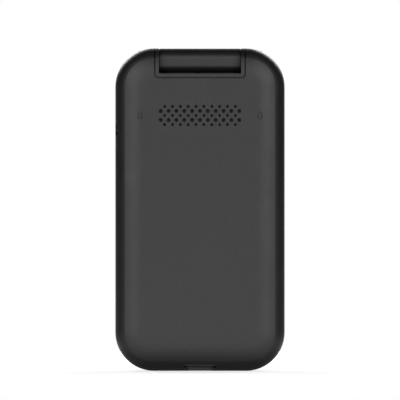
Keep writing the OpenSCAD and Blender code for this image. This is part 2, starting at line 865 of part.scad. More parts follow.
module headphone_jack() {
    color("#1c1c1e") difference() {
        union() {
            translate([jack_face_x, jack_y, jack_z]) rotate([0, 90, 0])
                cylinder(r = jack_barrel_r, h = jack_block_x - jack_face_x + 0.3);
            deep(jack_y - jack_barrel_r + 0.25, board_y) translate([jack_block_x, jack_z - jack_half])
                square([jack_end_x + jack_back - jack_block_x, 2 * jack_half]);
        }
        translate([jack_face_x - 1, jack_y, jack_z]) rotate([0, 90, 0])
            cylinder(r = jack_bore_r, h = jack_end_x - jack_face_x + 1);
    }
}

module loudspeaker() {
    color("#55585c") difference() {
        deep(speaker_y, speaker_y + speaker_t) translate([0, grille_z]) rounded(speaker_w, speaker_h, 2);
        deep(speaker_y - 1, speaker_y + 0.8) translate([0, grille_z]) difference() {
            rounded(speaker_w - 2.4, speaker_h - 2.4, 1.4);
            rounded(speaker_w - 5.4, speaker_h - 5.4, 0.8);
        }
        deep(speaker_y - 1, speaker_y + 0.3) translate([0, grille_z])
            rounded(speaker_w - 1.8, speaker_h - 1.8, 1.6);
    }
}

module speaker_mesh() {
    color("#202022") deep(cloth_y, cloth_y + cloth_t) translate([0, grille_z]) rounded(cloth_w, cloth_h, 1.5);
}

module vibration_motor() {
    color("#a9abb0") {
        rod_y(motor_x, motor_z, motor_r, board_y - motor_t, board_y - 0.3);
        rod_y(motor_x, motor_z, motor_r - 0.4, board_y - 0.4, board_y);
    }
}

module microphone() {
    color("#c9a24a") difference() {
        deep(board_y - 1, board_y) translate([mic_x, mic_z]) square([mic_w, mic_h], center = true);
        rod_y(mic_x + 0.8, mic_z, 0.25, board_y - 2, board_y - 0.5, $fn = 24);
    }
}

// ---- Hinge

// The flat that keeps the cam's head from turning in its ear
module cam_flat(grow) {
    deep(hinge_y - bush_r - 1, hinge_y - bush_r + 0.5 + grow)
        translate([-notch_half - ear_len, hinge_z - bush_r - 1]) square([ear_len + 0.1, 2 * bush_r + 2]);
}

module hinge_cam() {
    color("#b9bcc0") {
        difference() {
            hinge_rod(bush_r, cam_x, -notch_half + 0.1);
            cam_flat(run_fit);
        }
        hinge_rod(shaft_r, -notch_half, can_x + can_len - can_wall - 0.4);
    }
}

module hinge_can() {
    color("#8c8f94") difference() {
        hinge_rod(can_r, can_x, can_x + can_len);
        hinge_rod(shaft_r + run_fit, can_x - 1, can_x + can_len - can_wall);
    }
}

module hinge_bush() {
    color("#b9bcc0") difference() {
        hinge_rod(bush_r, bush_x, notch_half + ear_len);
        hinge_rod(bush_r - bush_wall, bush_x - 1, notch_half + ear_len + 1);
    }
}

module base_flex() {
    low_z = inner_top - 2.4;
    color("#b5651d") {
        hinge_rod(cable_r, bush_x + 0.1, notch_half + ear_len + 0.1);
        translate([notch_half + ear_len, film_y, low_z]) cube([cable_w, cable_t, hinge_z - low_z + 0.6]);
    }
}

module flex_slot() {
    translate([notch_half + ear_len - 0.1, hinge_y - 3 * cable_t, inner_top - 1])
        cube([cable_w + 0.6, 6 * cable_t, hinge_z - inner_top + 2.4]);
}

module lid_flex() {
    color("#b5651d") {
        hinge_rod(cable_r, cable_end_x, bush_x);
        translate([cable_end_x + 0.1, hinge_y, hinge_z - cable_t])
            cube([strip_w, lid_board_y - hinge_y + 0.1, 2 * cable_t]);
        translate([cable_end_x + 0.1, lid_board_y - strip_t, inner_top - 4])
            cube([strip_w, strip_t, hinge_z - inner_top + 4]);
    }
}

// ---- Lid

// The barrel's section, seen along X: round in front and below, flatter at the back
module barrel_section() {
    back_r = barrel_r - barrel_flat;
    low_r = barrel_r + barrel_low_z;
    low_y = low_r - back_r;
    intersection() {
        circle(barrel_r);
        translate([0, -barrel_r]) square([barrel_r, 2 * barrel_r]);
    }
    translate([0, barrel_flat]) circle(back_r);
    translate([-back_r, barrel_low_z]) square([back_r + 0.1, barrel_flat - barrel_low_z]);
    translate([low_y, barrel_low_z]) circle(low_r);
    translate([low_y, -barrel_r]) square([0.1 - low_y, low_r]);
}

module lid_frame() {
    color("#343436") difference() {
        union() {
            difference() {
                translate([0, lid_y, mid_z]) rotate([-90, 0, 0])
                    edged_slab(0, lid_split_y - lid_y) lip_section(0, lid_split_y - lid_y);
                deep(lid_y - 1, lid_split_y + 1) translate([-side_x - 1, hinge_z]) square([body_w + 2, 10]);
            }
            deep(lid_split_y - 0.5, web_y + web_t) intersection() {
                outline(tray_inset + 1);
                translate([-side_x, 0]) square([body_w, inner_top]);
            }
            across(-barrel_len / 2, barrel_len / 2) translate([hinge_y, hinge_z]) barrel_section();
            deep(hinge_y, lid_split_y) translate([-barrel_len / 2, hinge_z])
                square([barrel_len, barrel_r - knuckle_step]);
            deep(lid_y, lid_split_y) translate([-barrel_len / 2, hinge_z - barrel_r - 1])
                square([barrel_len, barrel_r + 2]);
        }
        lid_ends();
        hinge_rod(can_r + run_fit, -barrel_len / 2 - 1, can_x + can_len + 0.2);
        hinge_rod(bush_r + run_fit, cable_end_x - 0.2, barrel_len / 2 + 1);
        deep(lid_y - 1, window_y + window_t + 0.5 * slack) translate([0, window_z])
            rounded(window_w + 2 * slack, window_h + 2 * slack, 9);
        deep(window_y, display_y + display_t + 0.5 * slack) translate([0, display_z])
            rounded(display_w + 2 * slack, display_h + 2 * slack, 1);
        deep(window_y, web_y + 0.3) translate([0, earpiece_z]) rounded(12.6, 7, 1.5);
        lid_flex_room();
        for (s = LID_SCREWS) {
            rod_y(s[0], s[1], screw_head_r + 0.1, lid_y - 1, lid_seat_y);
            rod_y(s[0], s[1], screw_r + 0.1, lid_y, web_y + web_t + 1);
        }
        rod_y(0, magnet_z, magnet_r + 0.1, lid_split_y - 1.7, lid_split_y + 1);
    }
}

module lid_flex_room() {
    room_w = strip_w + 0.4;
    translate([cable_end_x - 0.1, hinge_y, hinge_z - 0.35]) cube([room_w, lid_split_y - hinge_y + 1, 0.7]);
    translate([cable_end_x - 0.1, lid_split_y - 0.6, inner_top - 5])
        cube([room_w, 2.5, hinge_z - inner_top + 5.35]);
}

module lid_cover() {
    color("#3c3c3e") difference() {
        union() {
            difference() {
                lid_form(0, rim_depth);
                intersection() {
                    lid_form(wall, rim_depth + 1);
                    deep(lid_split_y - 1, front_y) translate([-side_x, 0]) square([body_w, inner_top]);
                }
            }
            intersection() {
                for (s = LID_SCREWS) rod_y(s[0], s[1], lid_boss_r, web_y + web_t + slack, front_y);
                lid_form(0.7 * wall, rim_depth);
            }
        }
        lid_ends();
        for (s = LID_SCREWS) rod_y(s[0], s[1], screw_r + 0.02, lid_split_y - 1, lid_screw_end + 0.2);
        lid_flex_room();
        deep(out_window_y - 0.5 * slack, front_y + 1) translate([0, out_window_z])
            rounded(out_window_w + 2 * slack, out_window_h + 2 * slack, 6);
        deep(lid_split_y, front_y) translate([0, out_display_z])
            rounded(out_display_w + 2 * slack, out_display_h + 2 * slack, 1);
        rod_y(-camera_x, camera_z, camera_r + 0.1, lid_split_y, front_y + 1);
        rod_y(camera_x, camera_z, flash_r + slack, lid_split_y, front_y + 1);
    }
}

module lid_screws() {
    color("#9a9a9c") for (s = LID_SCREWS) {
        rod_y(s[0], s[1], screw_head_r, lid_seat_y - screw_head_t, lid_seat_y);
        rod_y(s[0], s[1], screw_r, lid_seat_y, lid_screw_end);
    }
}

module main_window() {
    color("#101114") difference() {
        deep(window_y, window_y + window_t) translate([0, window_z]) rounded(window_w, window_h, 8.9);
        deep(window_y - 1, display_y + 1) translate([0, earpiece_z]) rounded(10.4, 1.8, 0.85);
    }
}

module main_display() {
    color("#0c0d10") deep(display_y, display_y + display_t) translate([0, display_z])
        rounded(display_w, display_h, 0.9);
}

module lid_board() {
    color("#1d5a3a") difference() {
        deep(lid_board_y, lid_board_y + lid_board_t) translate([0, (lid_board_z + lid_board_top) / 2])
            rounded(46, lid_board_top - lid_board_z, 6);
        deep(lid_board_y - 1, lid_board_y + 2) at_camera() square(camera_body_w + 2 * slack, center = true);
    }
}

module outer_window() {
    color("#0e0f12") difference() {
        deep(out_window_y, front_y - window_sink) translate([0, out_window_z])
            rounded(out_window_w, out_window_h, 5.9);
        rod_y(-camera_x, camera_z, camera_r + slack, out_window_y - 1, front_y);
        rod_y(camera_x, camera_z, flash_r + slack, out_window_y - 1, front_y);
    }
}

module outer_display() {
    color("#0c0d10") deep(out_display_y, out_display_y + out_display_t) translate([0, out_display_z])
        rounded(out_display_w, out_display_h, 0.9);
}

module camera_module() {
    color("#17181b") difference() {
        union() {
            deep(lid_board_y, lid_board_y + 1.9) at_camera() square(camera_body_w, center = true);
            rod_y(-camera_x, camera_z, 3, lid_board_y + 1.8, out_window_y - 0.4);
        }
        rod_y(-camera_x, camera_z, 1.3, out_window_y - 1.1, out_window_y + 1);
    }
}

module at_camera() {
    translate([-camera_x, camera_z]) children();
}

module camera_ring() {
    color("#8c8f94") difference() {
        rod_y(-camera_x, camera_z, camera_r, out_window_y - 0.3, front_y + pad_rise);
        rod_y(-camera_x, camera_z, camera_bore_r - 0.6, out_window_y - 1, front_y + 1);
        rod_y(-camera_x, camera_z, camera_bore_r, camera_glass_y, front_y + 1);
    }
}

module camera_glass() {
    color("#101114")
        rod_y(-camera_x, camera_z, camera_bore_r - slack, camera_glass_y, camera_glass_y + camera_glass_t);
}

module flash_lens() {
    color("#e8e2c8") rod_y(camera_x, camera_z, flash_r, out_window_y - 1.2, front_y - window_sink);
}

module earpiece() {
    color("#2a2b2e") deep(display_y, web_y + 0.2) translate([0, earpiece_z]) rounded(12, 6.4, 1.2);
}

module earpiece_mesh() {
    color("#77797d") deep(window_y + 0.2, window_y + window_t)
        translate([0, earpiece_z]) rounded(10.2, 1.6, 0.75);
}

module lid_magnet() {
    color("#9a9a9c") rod_y(0, magnet_z, magnet_r, lid_split_y - 1.6, lid_split_y - 0.1);
}

module lid_pads() {
    color("#222224") for (s = LID_SCREWS)
        rod_y(s[0], s[1], screw_head_r + 0.05, lid_y - lid_gap + 0.05, lid_y + 0.4);
}

// ---- Keys

module key(k) {
    color(k[0] == "key_call" ? "#2e9a4a" : k[0] == "key_end" ? "#b03030" : "#2c2d30") {
        deep(flange_y, flange_y + flange_t) translate([k[1], k[2]])
            rounded(k[3] + 2 * flange_lip, k[4] + 2 * flange_lip, key_r + flange_lip);
        intersection() {
            deep(flange_y, key_top_y + 1) translate([k[1], k[2]]) rounded(k[3], k[4], key_r);
            translate([k[1], key_top_y - key_crown, k[2] - k[4]])
                cylinder(r = key_crown, h = 2 * k[4], $fn = 360);
        }
    }
}

module nav_ring() {
    hole_r = ok_r + ok_gap;
    color("#55585c") difference() {
        union() {
            rod_y(0, ring_z, ring_r + flange_lip, flange_y, flange_y + flange_t);
            rod_y(0, ring_z, ring_r, flange_y, key_top_y);
        }
        rod_y(0, ring_z, hole_r, flange_y - 1, key_top_y + 1);
        translate([0, key_top_y + 3.4, ring_z]) rotate([90, 0, 0]) rotate_extrude()
            translate([(ring_r + hole_r) / 2, 0]) circle(3.7);
    }
}

module nav_centre() {
    color("#2c2d30") intersection() {
        rod_y(0, ring_z, ok_r, flange_y, key_top_y + 1);
        translate([0, key_top_y - 30, ring_z]) sphere(30, $fn = 200);
    }
}

battery_cover();
cover_pads();
rear_housing();
front_housing();
housing_screws();
main_board();
shield_cans();
key_dome_film();
keypad_mat();
battery_pack();
battery_contacts();
sim_reader();
usb_socket();
headphone_jack();
loudspeaker();
speaker_mesh();
vibration_motor();
microphone();
hinge_cam();
hinge_can();
hinge_bush();
base_flex();
lid_flex();
lid_frame();
lid_cover();
lid_screws();
main_window();
main_display();
lid_board();
outer_window();
outer_display();
camera_module();
camera_ring();
camera_glass();
flash_lens();
earpiece();
earpiece_mesh();
lid_magnet();
lid_pads();
nav_ring();
nav_centre();
for (k = KEYS) key(k);
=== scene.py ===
import json
import math

import bmesh
import bpy
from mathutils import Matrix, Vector


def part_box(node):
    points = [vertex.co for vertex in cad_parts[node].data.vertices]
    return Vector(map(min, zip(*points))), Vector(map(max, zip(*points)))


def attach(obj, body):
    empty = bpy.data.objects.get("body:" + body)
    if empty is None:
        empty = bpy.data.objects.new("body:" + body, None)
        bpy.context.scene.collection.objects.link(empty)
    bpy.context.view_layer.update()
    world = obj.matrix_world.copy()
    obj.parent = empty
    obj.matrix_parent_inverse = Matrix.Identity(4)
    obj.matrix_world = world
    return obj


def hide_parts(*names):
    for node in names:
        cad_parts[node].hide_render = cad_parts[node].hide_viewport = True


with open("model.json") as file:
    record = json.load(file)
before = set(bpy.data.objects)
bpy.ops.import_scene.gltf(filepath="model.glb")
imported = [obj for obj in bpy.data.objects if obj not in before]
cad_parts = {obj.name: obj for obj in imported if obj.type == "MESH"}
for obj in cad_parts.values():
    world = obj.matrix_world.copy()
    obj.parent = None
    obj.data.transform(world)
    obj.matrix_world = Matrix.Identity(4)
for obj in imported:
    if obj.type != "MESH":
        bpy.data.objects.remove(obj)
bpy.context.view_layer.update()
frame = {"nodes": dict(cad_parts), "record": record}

MM = 0.001
WAVE_PITCH = math.tau / 20  # a wave texture of scale 1 has its bands this far apart
NODES = frame["nodes"]
BODY_OF = {n: body for body, names in frame["record"]["behaviour"]["bodies"].items() for n in names}
SLOT_OF = {s["node"]: s["material_slot"] for s in frame["record"]["subparts"]}


# ---- Finishes: the small tools that build them

def linear(code):
    """An sRGB hex colour as linear values."""
    parts = [int(code[i:i + 2], 16) / 255 for i in (1, 3, 5)]
    return [v / 12.92 if v <= 0.04045 else ((v + 0.055) / 1.055) ** 2.4 for v in parts] + [1.0]


def add(tree, kind, inputs=None, **settings):
    """Adds one node. An input is a value, or another node's output, which is linked."""
    made = tree.nodes.new(kind)
    for name, value in settings.items():
        setattr(made, name, value)
    for name, value in (inputs or {}).items():
        if isinstance(value, bpy.types.NodeSocket):
            tree.links.new(value, made.inputs[name])
        else:
            made.inputs[name].default_value = value
    return made


def finish_of(name, **values):
    """A new finish: its material, tree, principled shader, and the place on the piece in metres."""
    finish = bpy.data.materials.new(name)
    finish.use_nodes = True
    tree = finish.node_tree
    shader = tree.nodes["Principled BSDF"]
    for socket, value in values.items():
        shader.inputs[socket.replace("_", " ")].default_value = value
    place = add(tree, "ShaderNodeTexCoord").outputs["Object"]
    return finish, tree, shader, place


def sized(place, mm, **more):
    """The inputs that place a pattern, with about mm millimetres from one feature to the next."""
    return {"Vector": place, "Scale": 1 / (mm * MM), **more}


def mottle(tree, shader, pattern, colour, spread, rough, low=0.3, high=0.7):
    """As the pattern goes from low to high, the colour's value and the roughness go over their ranges."""
    value, dull = [add(tree, "ShaderNodeMapRange", {"Value": pattern, "From Min": low, "From Max": high,
                   "To Min": a, "To Max": b}).outputs["Result"] for a, b in (spread, rough)]
    shade = add(tree, "ShaderNodeHueSaturation", {"Color": colour, "Value": value})
    tree.links.new(shade.outputs["Color"], shader.inputs["Base Color"])
    tree.links.new(dull, shader.inputs["Roughness"])


def relief(tree, shader, height, depth_mm, edge_mm):
    """Gives the surface a relief of that depth, and rounds its edges by edge_mm."""
    edge = add(tree, "ShaderNodeBevel", {"Radius": edge_mm * MM}, samples=4).outputs["Normal"]
    bump = add(tree, "ShaderNodeBump", {"Height": height, "Distance": depth_mm * MM, "Normal": edge})
    tree.links.new(bump.outputs["Normal"], shader.inputs["Normal"])


def within(tree, place, low, high):
    """1 inside a box of the frame, 0 outside it."""
    centre, half = (low + high) / 2, (high - low) / 2
    off = add(tree, "ShaderNodeVectorMath", {0: place, 1: centre}, operation="SUBTRACT").outputs["Vector"]
    far = add(tree, "ShaderNodeVectorMath", {0: off}, operation="ABSOLUTE").outputs["Vector"]
    share = add(tree, "ShaderNodeVectorMath", {0: far, 1: half}, operation="DIVIDE").outputs["Vector"]
    axes = add(tree, "ShaderNodeSeparateXYZ", {0: share})
    wide = add(tree, "ShaderNodeMath", {0: axes.outputs["X"], 1: axes.outputs["Y"]}, operation="MAXIMUM")
    most = add(tree, "ShaderNodeMath", {0: wide.outputs[0], 1: axes.outputs["Z"]}, operation="MAXIMUM")
    return add(tree, "ShaderNodeMath", {0: most.outputs[0], 1: 1.0}, operation="LESS_THAN").outputs[0]


# ---- Finishes of the mouldings, paint and rubber

def moulded_abs(name, colour, roughness, grain_mm=0.35, edge_mm=0.15):
    """ABS from a spark-eroded tool: an even pebble grain that spreads the shine, and a faint cloudiness
    where the melt flowed. The real grain of 0.1 mm is too fine to show, so it is drawn coarser."""
    finish, tree, shader, place = finish_of(name, IOR=1.53)
    cloud = add(tree, "ShaderNodeTexNoise", sized(place, 9, Detail=4.0))
    dull = roughness - 0.03, roughness + 0.03
    mottle(tree, shader, cloud.outputs["Fac"], linear(colour), (0.94, 1.06), dull)
    pebble = add(tree, "ShaderNodeTexVoronoi", sized(place, grain_mm), feature="SMOOTH_F1")
    relief(tree, shader, pebble.outputs["Distance"], 0.028, edge_mm)
    return finish


def pin_polished_abs(name, colour):
    """ABS moulded against a polished steel pin: smooth, without the grain, so it looks darker."""
    finish, tree, shader, place = finish_of(name, IOR=1.53)
    flow = add(tree, "ShaderNodeTexNoise", sized(place, 1, Detail=3.0)).outputs["Fac"]
    mottle(tree, shader, flow, linear(colour), (0.9, 1.1), (0.08, 0.14))
    return finish


def satin_lacquer(name, colour, roughness):
    """Satin lacquer sprayed on a moulded key: nearly even, with the soft ripple that lacquer dries to."""
    finish, tree, shader, place = finish_of(name, IOR=1.5, Coat_Weight=0.25, Coat_Roughness=0.22)
    ripple = add(tree, "ShaderNodeTexNoise", sized(place, 0.5, Detail=2.0)).outputs["Fac"]
    mottle(tree, shader, ripple, linear(colour), (0.93, 1.07), (roughness - 0.04, roughness + 0.04))
    relief(tree, shader, ripple, 0.006, 0.1)
    return finish


def silicone_rubber(name, colour):
    """Moulded silicone rubber: dull, with fine dust caught in its surface."""
    finish, tree, shader, place = finish_of(name, IOR=1.5, Sheen_Weight=0.1, Sheen_Roughness=0.5)
    dust = add(tree, "ShaderNodeTexNoise", sized(place, 0.3, Detail=6.0)).outputs["Fac"]
    mottle(tree, shader, dust, linear(colour), (0.85, 1.15), (0.4, 0.5))
    relief(tree, shader, dust, 0.01, 0.08)
    return finish


def glass_filled_nylon(name, colour):
    """Nylon with glass fibres, moulded: matt, with flecks where the fibres lie along the flow."""
    finish, tree, shader, place = finish_of(name, IOR=1.53)
    along = add(tree, "ShaderNodeMapping", {"Vector": place, "Scale": (1.0, 1.0, 0.2)}).outputs["Vector"]
    fleck = add(tree, "ShaderNodeTexNoise", sized(along, 0.2, Detail=3.0)).outputs["Fac"]
    mottle(tree, shader, fleck, linear(colour), (0.8, 1.25), (0.45, 0.62))
    relief(tree, shader, fleck, 0.008, 0.08)
    return finish


def screen_print(name, colour):
    """Screen-printed ink: flat and dull, and not quite even in how it covers."""
    finish, tree, shader, place = finish_of(name, IOR=1.5)
    cover = add(tree, "ShaderNodeTexNoise", sized(place, 0.25, Detail=4.0)).outputs["Fac"]
    mottle(tree, shader, cover, linear(colour), (0.93, 1.03), (0.5, 0.6))
    relief(tree, shader, cover, 0.004, 0.03)
    return finish


# ---- Finishes of the metal pieces

def plated_metal(name, colour, rough, grain, scale_mm, depth_mm=0.006):
    """Plated or tinned metal: the plating's shine is a little uneven, and drawn out along an axis where
    the sheet was rolled."""
    finish, tree, shader, place = finish_of(name, Metallic=1.0)
    drawn = add(tree, "ShaderNodeMapping", {"Vector": place, "Scale": grain}).outputs["Vector"]
    lines = add(tree, "ShaderNodeTexNoise", sized(drawn, scale_mm, Detail=5.0)).outputs["Fac"]
    mottle(tree, shader, lines, linear(colour), (0.88, 1.08), rough)
    relief(tree, shader, lines, depth_mm, 0.06)
    return finish


def turned_steel(name, colour):
    """Steel turned in a lathe along the hinge: fine rings round its axis. The real feed of 0.05 mm is
    too fine to show, so the rings are drawn 0.3 mm apart."""
    finish, tree, shader, place = finish_of(name, Metallic=1.0)
    rings = add(tree, "ShaderNodeTexWave", {"Vector": place, "Scale": WAVE_PITCH / (0.3 * MM),
                "Distortion": 0.4, "Detail": 2.0}, bands_direction="X").outputs["Fac"]
    mottle(tree, shader, rings, linear(colour), (0.9, 1.05), (0.22, 0.36), 0, 1)
    relief(tree, shader, rings, 0.004, 0.08)
    return finish


def anodised_aluminium(name, colour):
    """Aluminium, bead-blasted and anodised: a fine, even sparkle and softened edges."""
    finish, tree, shader, place = finish_of(name, Metallic=1.0)
    beads = add(tree, "ShaderNodeTexVoronoi", sized(place, 0.12)).outputs["Distance"]
    mottle(tree, shader, beads, linear(colour), (0.92, 1.06), (0.28, 0.4), 0, 1)
    relief(tree, shader, beads, 0.005, 0.12)
    return finish


# ---- Finishes of cloth, films, windows and boards

def woven(name, colour, thread_mm, metallic, rough):
    """Cloth or wire in a plain weave, threads over and under one another. Real threads of 0.05 mm are
    too fine to show, so they are drawn thicker."""
    finish, tree, shader, place = finish_of(name, Metallic=metallic)
    weave = {"Vector": place, "Scale": WAVE_PITCH / (2 * thread_mm * MM)}
    warp, weft = [add(tree, "ShaderNodeTexWave", weave, bands_direction=way).outputs["Fac"]
                  for way in ("X", "Z")]
    cross = add(tree, "ShaderNodeMath", {0: warp, 1: weft}, operation="MULTIPLY").outputs[0]
    mottle(tree, shader, cross, linear(colour), (0.5, 1.4), rough, 0, 1)
    relief(tree, shader, cross, 0.03, 0.05)
    return finish


def tracked_film(name, colour, stripe, pitch_mm):
    """Plastic film over printed or etched tracks, which show through as straight stripes."""
    finish, tree, shader, place = finish_of(name, IOR=1.65, Coat_Weight=0.4, Coat_Roughness=0.1)
    wave = add(tree, "ShaderNodeTexWave", {"Vector": place, "Scale": WAVE_PITCH / (pitch_mm * MM),
               "Distortion": 0.2}, bands_direction="X").outputs["Fac"]
    edge = add(tree, "ShaderNodeMapRange", {"Value": wave, "From Min": 0.45, "From Max": 0.55})
    track = edge.outputs["Result"]
    shade = add(tree, "ShaderNodeMix", {0: track, 6: linear(colour), 7: linear(stripe)}, data_type="RGBA")
    mottle(tree, shader, wave, shade.outputs[2], (0.95, 1.05), (0.28, 0.38), 0, 1)
    relief(tree, shader, track, 0.01, 0.03)
    return finish


def hard_coated_acrylic(name, colour, panel_colour, low, high):
    """Acrylic window with black print behind it and a hard coat: deep gloss, the faintest ripple, and
    thin smears from wiping. The print stops at the display, which shows a little greyer."""
    finish, tree, shader, place = finish_of(name, IOR=1.49, Coat_Weight=0.6, Coat_Roughness=0.02)
    panel = within(tree, place, low, high)
    shade = add(tree, "ShaderNodeMix", {0: panel, 6: linear(colour), 7: linear(panel_colour)},
                data_type="RGBA")
    smear = add(tree, "ShaderNodeTexNoise", sized(place, 5, Detail=6.0)).outputs["Fac"]
    mottle(tree, shader, smear, shade.outputs[2], (0.97, 1.03), (0.04, 0.09))
    ripple = add(tree, "ShaderNodeTexNoise", sized(place, 12, Detail=1.0)).outputs["Fac"]
    relief(tree, shader, ripple, 0.01, 0.12)
    return finish


def display_glass(name, colour, cell_colour):
    """The face of a display that is off: dark glass over a grid of cells. Real cells of 0.07 mm are too
    fine to show, so they are drawn at 0.18 mm."""
    finish, tree, shader, place = finish_of(name, IOR=1.52)
    colours = {"Color1": linear(colour), "Color2": linear(cell_colour)}
    cells = add(tree, "ShaderNodeTexChecker", sized(place, 0.18, **colours))
    mottle(tree, shader, cells.outputs["Fac"], cells.outputs["Color"], (1.0, 1.0), (0.05, 0.08), 0, 1)
    relief(tree, shader, cells.outputs["Fac"], 0.002, 0.05)
    return finish


def clear_glass(name, colour):
    """Clear cover glass, ground and polished: only its reflections and a grey edge show."""
    finish, tree, shader, place = finish_of(name, IOR=1.5, Transmission_Weight=1.0)
    haze = add(tree, "ShaderNodeTexNoise", sized(place, 2, Detail=4.0)).outputs["Fac"]
    mottle(tree, shader, haze, linear(colour), (0.98, 1.0), (0.0, 0.006))
    relief(tree, shader, haze, 0.0004, 0.1)
    return finish


def coated_glass(name, colour, coating):
    """A ground and polished lens under a violet anti-reflection coat: nearly black, with a deep gloss."""
    finish, tree, shader, place = finish_of(name, IOR=1.6, Coat_Weight=1.0, Coat_Roughness=0.0,
                                            Coat_Tint=linear(coating))
    flare = add(tree, "ShaderNodeTexNoise", sized(place, 3)).outputs["Fac"]
    mottle(tree, shader, flare, linear(colour), (0.8, 1.2), (0.015, 0.03))
    return finish


def circuit_board(name, resist, copper, pitch_mm):
    """Glass-epoxy board under green solder resist: the copper shows lighter in straight runs, over the
    faint weave of the glass."""
    finish, tree, shader, place = finish_of(name, IOR=1.55, Coat_Weight=0.5, Coat_Roughness=0.15)
    face = add(tree, "ShaderNodeMapping", {"Vector": place, "Rotation": (math.pi / 2, 0, 0)})
    colours = {"Color1": linear(resist), "Color2": linear(resist), "Mortar": linear(copper)}
    runs = add(tree, "ShaderNodeTexBrick", {**sized(face.outputs["Vector"], 4 * pitch_mm, **colours),
               "Mortar Size": 0.06})
    weave = add(tree, "ShaderNodeTexNoise", sized(place, 0.4, Detail=2.0)).outputs["Fac"]
    mottle(tree, shader, weave, runs.outputs["Color"], (0.9, 1.1), (0.3, 0.42))
    relief(tree, shader, runs.outputs["Fac"], 0.02, 0.08)
    return finish


def battery_sleeve(name, colour):
    """Sleeve shrunk round a lithium cell: smooth, and slightly wavy where it is drawn over the cell."""
    finish, tree, shader, place = finish_of(name, IOR=1.55, Coat_Weight=0.2, Coat_Roughness=0.25)
    wave = add(tree, "ShaderNodeTexNoise", sized(place, 7, Detail=3.0)).outputs["Fac"]
    mottle(tree, shader, wave, linear(colour), (0.92, 1.08), (0.34, 0.46))
    relief(tree, shader, wave, 0.05, 0.3)
    return finish


def ringed_polycarbonate(name, colour, phosphor):
    """Clear polycarbonate lens over a yellow phosphor: the rings cut in its back show as fine circles
    0.25 mm apart."""
    finish, tree, shader, place = finish_of(name, IOR=1.58, Coat_Weight=0.5, Coat_Roughness=0.04)
    low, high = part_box("flash_lens")
    pitch = 0.25 * MM
    off = add(tree, "ShaderNodeVectorMath", {0: place, 1: (low + high) / 2}, operation="SUBTRACT")
    flat = add(tree, "ShaderNodeVectorMath", {0: off.outputs["Vector"], 1: (1, 0, 1)}, operation="MULTIPLY")
    far = add(tree, "ShaderNodeVectorMath", {0: flat.outputs["Vector"]}, operation="LENGTH")
    away = far.outputs["Value"]
    step = add(tree, "ShaderNodeMath", {0: away, 1: pitch}, operation="MODULO").outputs[0]
    height = add(tree, "ShaderNodeMath", {0: step, 1: pitch}, operation="DIVIDE").outputs[0]
    middle = add(tree, "ShaderNodeMapRange", {"Value": away, "From Min": 0.5 * MM, "From Max": 1.1 * MM,
                 "To Min": 1.0, "To Max": 0.0}).outputs["Result"]
    shade = add(tree, "ShaderNodeMix", {0: middle, 6: linear(colour), 7: linear(phosphor)}, data_type="RGBA")
    mottle(tree, shader, height, shade.outputs[2], (0.9, 1.1), (0.1, 0.2), 0, 1)
    relief(tree, shader, height, 0.05, 0.08)
    return finish


def contact_block(name, plating, resin, block_foot):
    """Gold-plated springs in a black resin block: the springs are what stands out below the block."""
    finish, tree, shader, place = finish_of(name)
    height = add(tree, "ShaderNodeSeparateXYZ", {0: place}).outputs["Z"]
    spring = add(tree, "ShaderNodeMath", {0: height, 1: block_foot}, operation="LESS_THAN").outputs[0]
    shade = add(tree, "ShaderNodeMix", {0: spring, 6: linear(resin), 7: linear(plating)}, data_type="RGBA")
    scuff = add(tree, "ShaderNodeTexNoise", sized(place, 0.5, Detail=4.0)).outputs["Fac"]
    mottle(tree, shader, scuff, shade.outputs[2], (0.9, 1.08), (0.25, 0.4))
    tree.links.new(spring, shader.inputs["Metallic"])
    relief(tree, shader, scuff, 0.006, 0.06)
    return finish


# ---- What each piece is finished in

cover_black, resin_black, gold = "#1d1d1e", "#141416", "#d9b25c"
black_abs = moulded_abs("black_textured_abs", cover_black, 0.4)
lacquer = satin_lacquer("black_key_lacquer", "#17181a", 0.3)
white_ink = screen_print("white_key_ink", "#dcdcda")
gold_plate = plated_metal("gold_plated_contacts", gold, (0.18, 0.3), (1, 1, 1), 0.6)

# A window's print is open over its display. Each opening is the display's box, drawn out to the window.
window_print, panel_grey = "#040405", "#0b0d11"
inner_low, inner_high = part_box("main_display")
outer_low, outer_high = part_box("outer_display")
to_window = Vector((0, 5 * MM, 0))

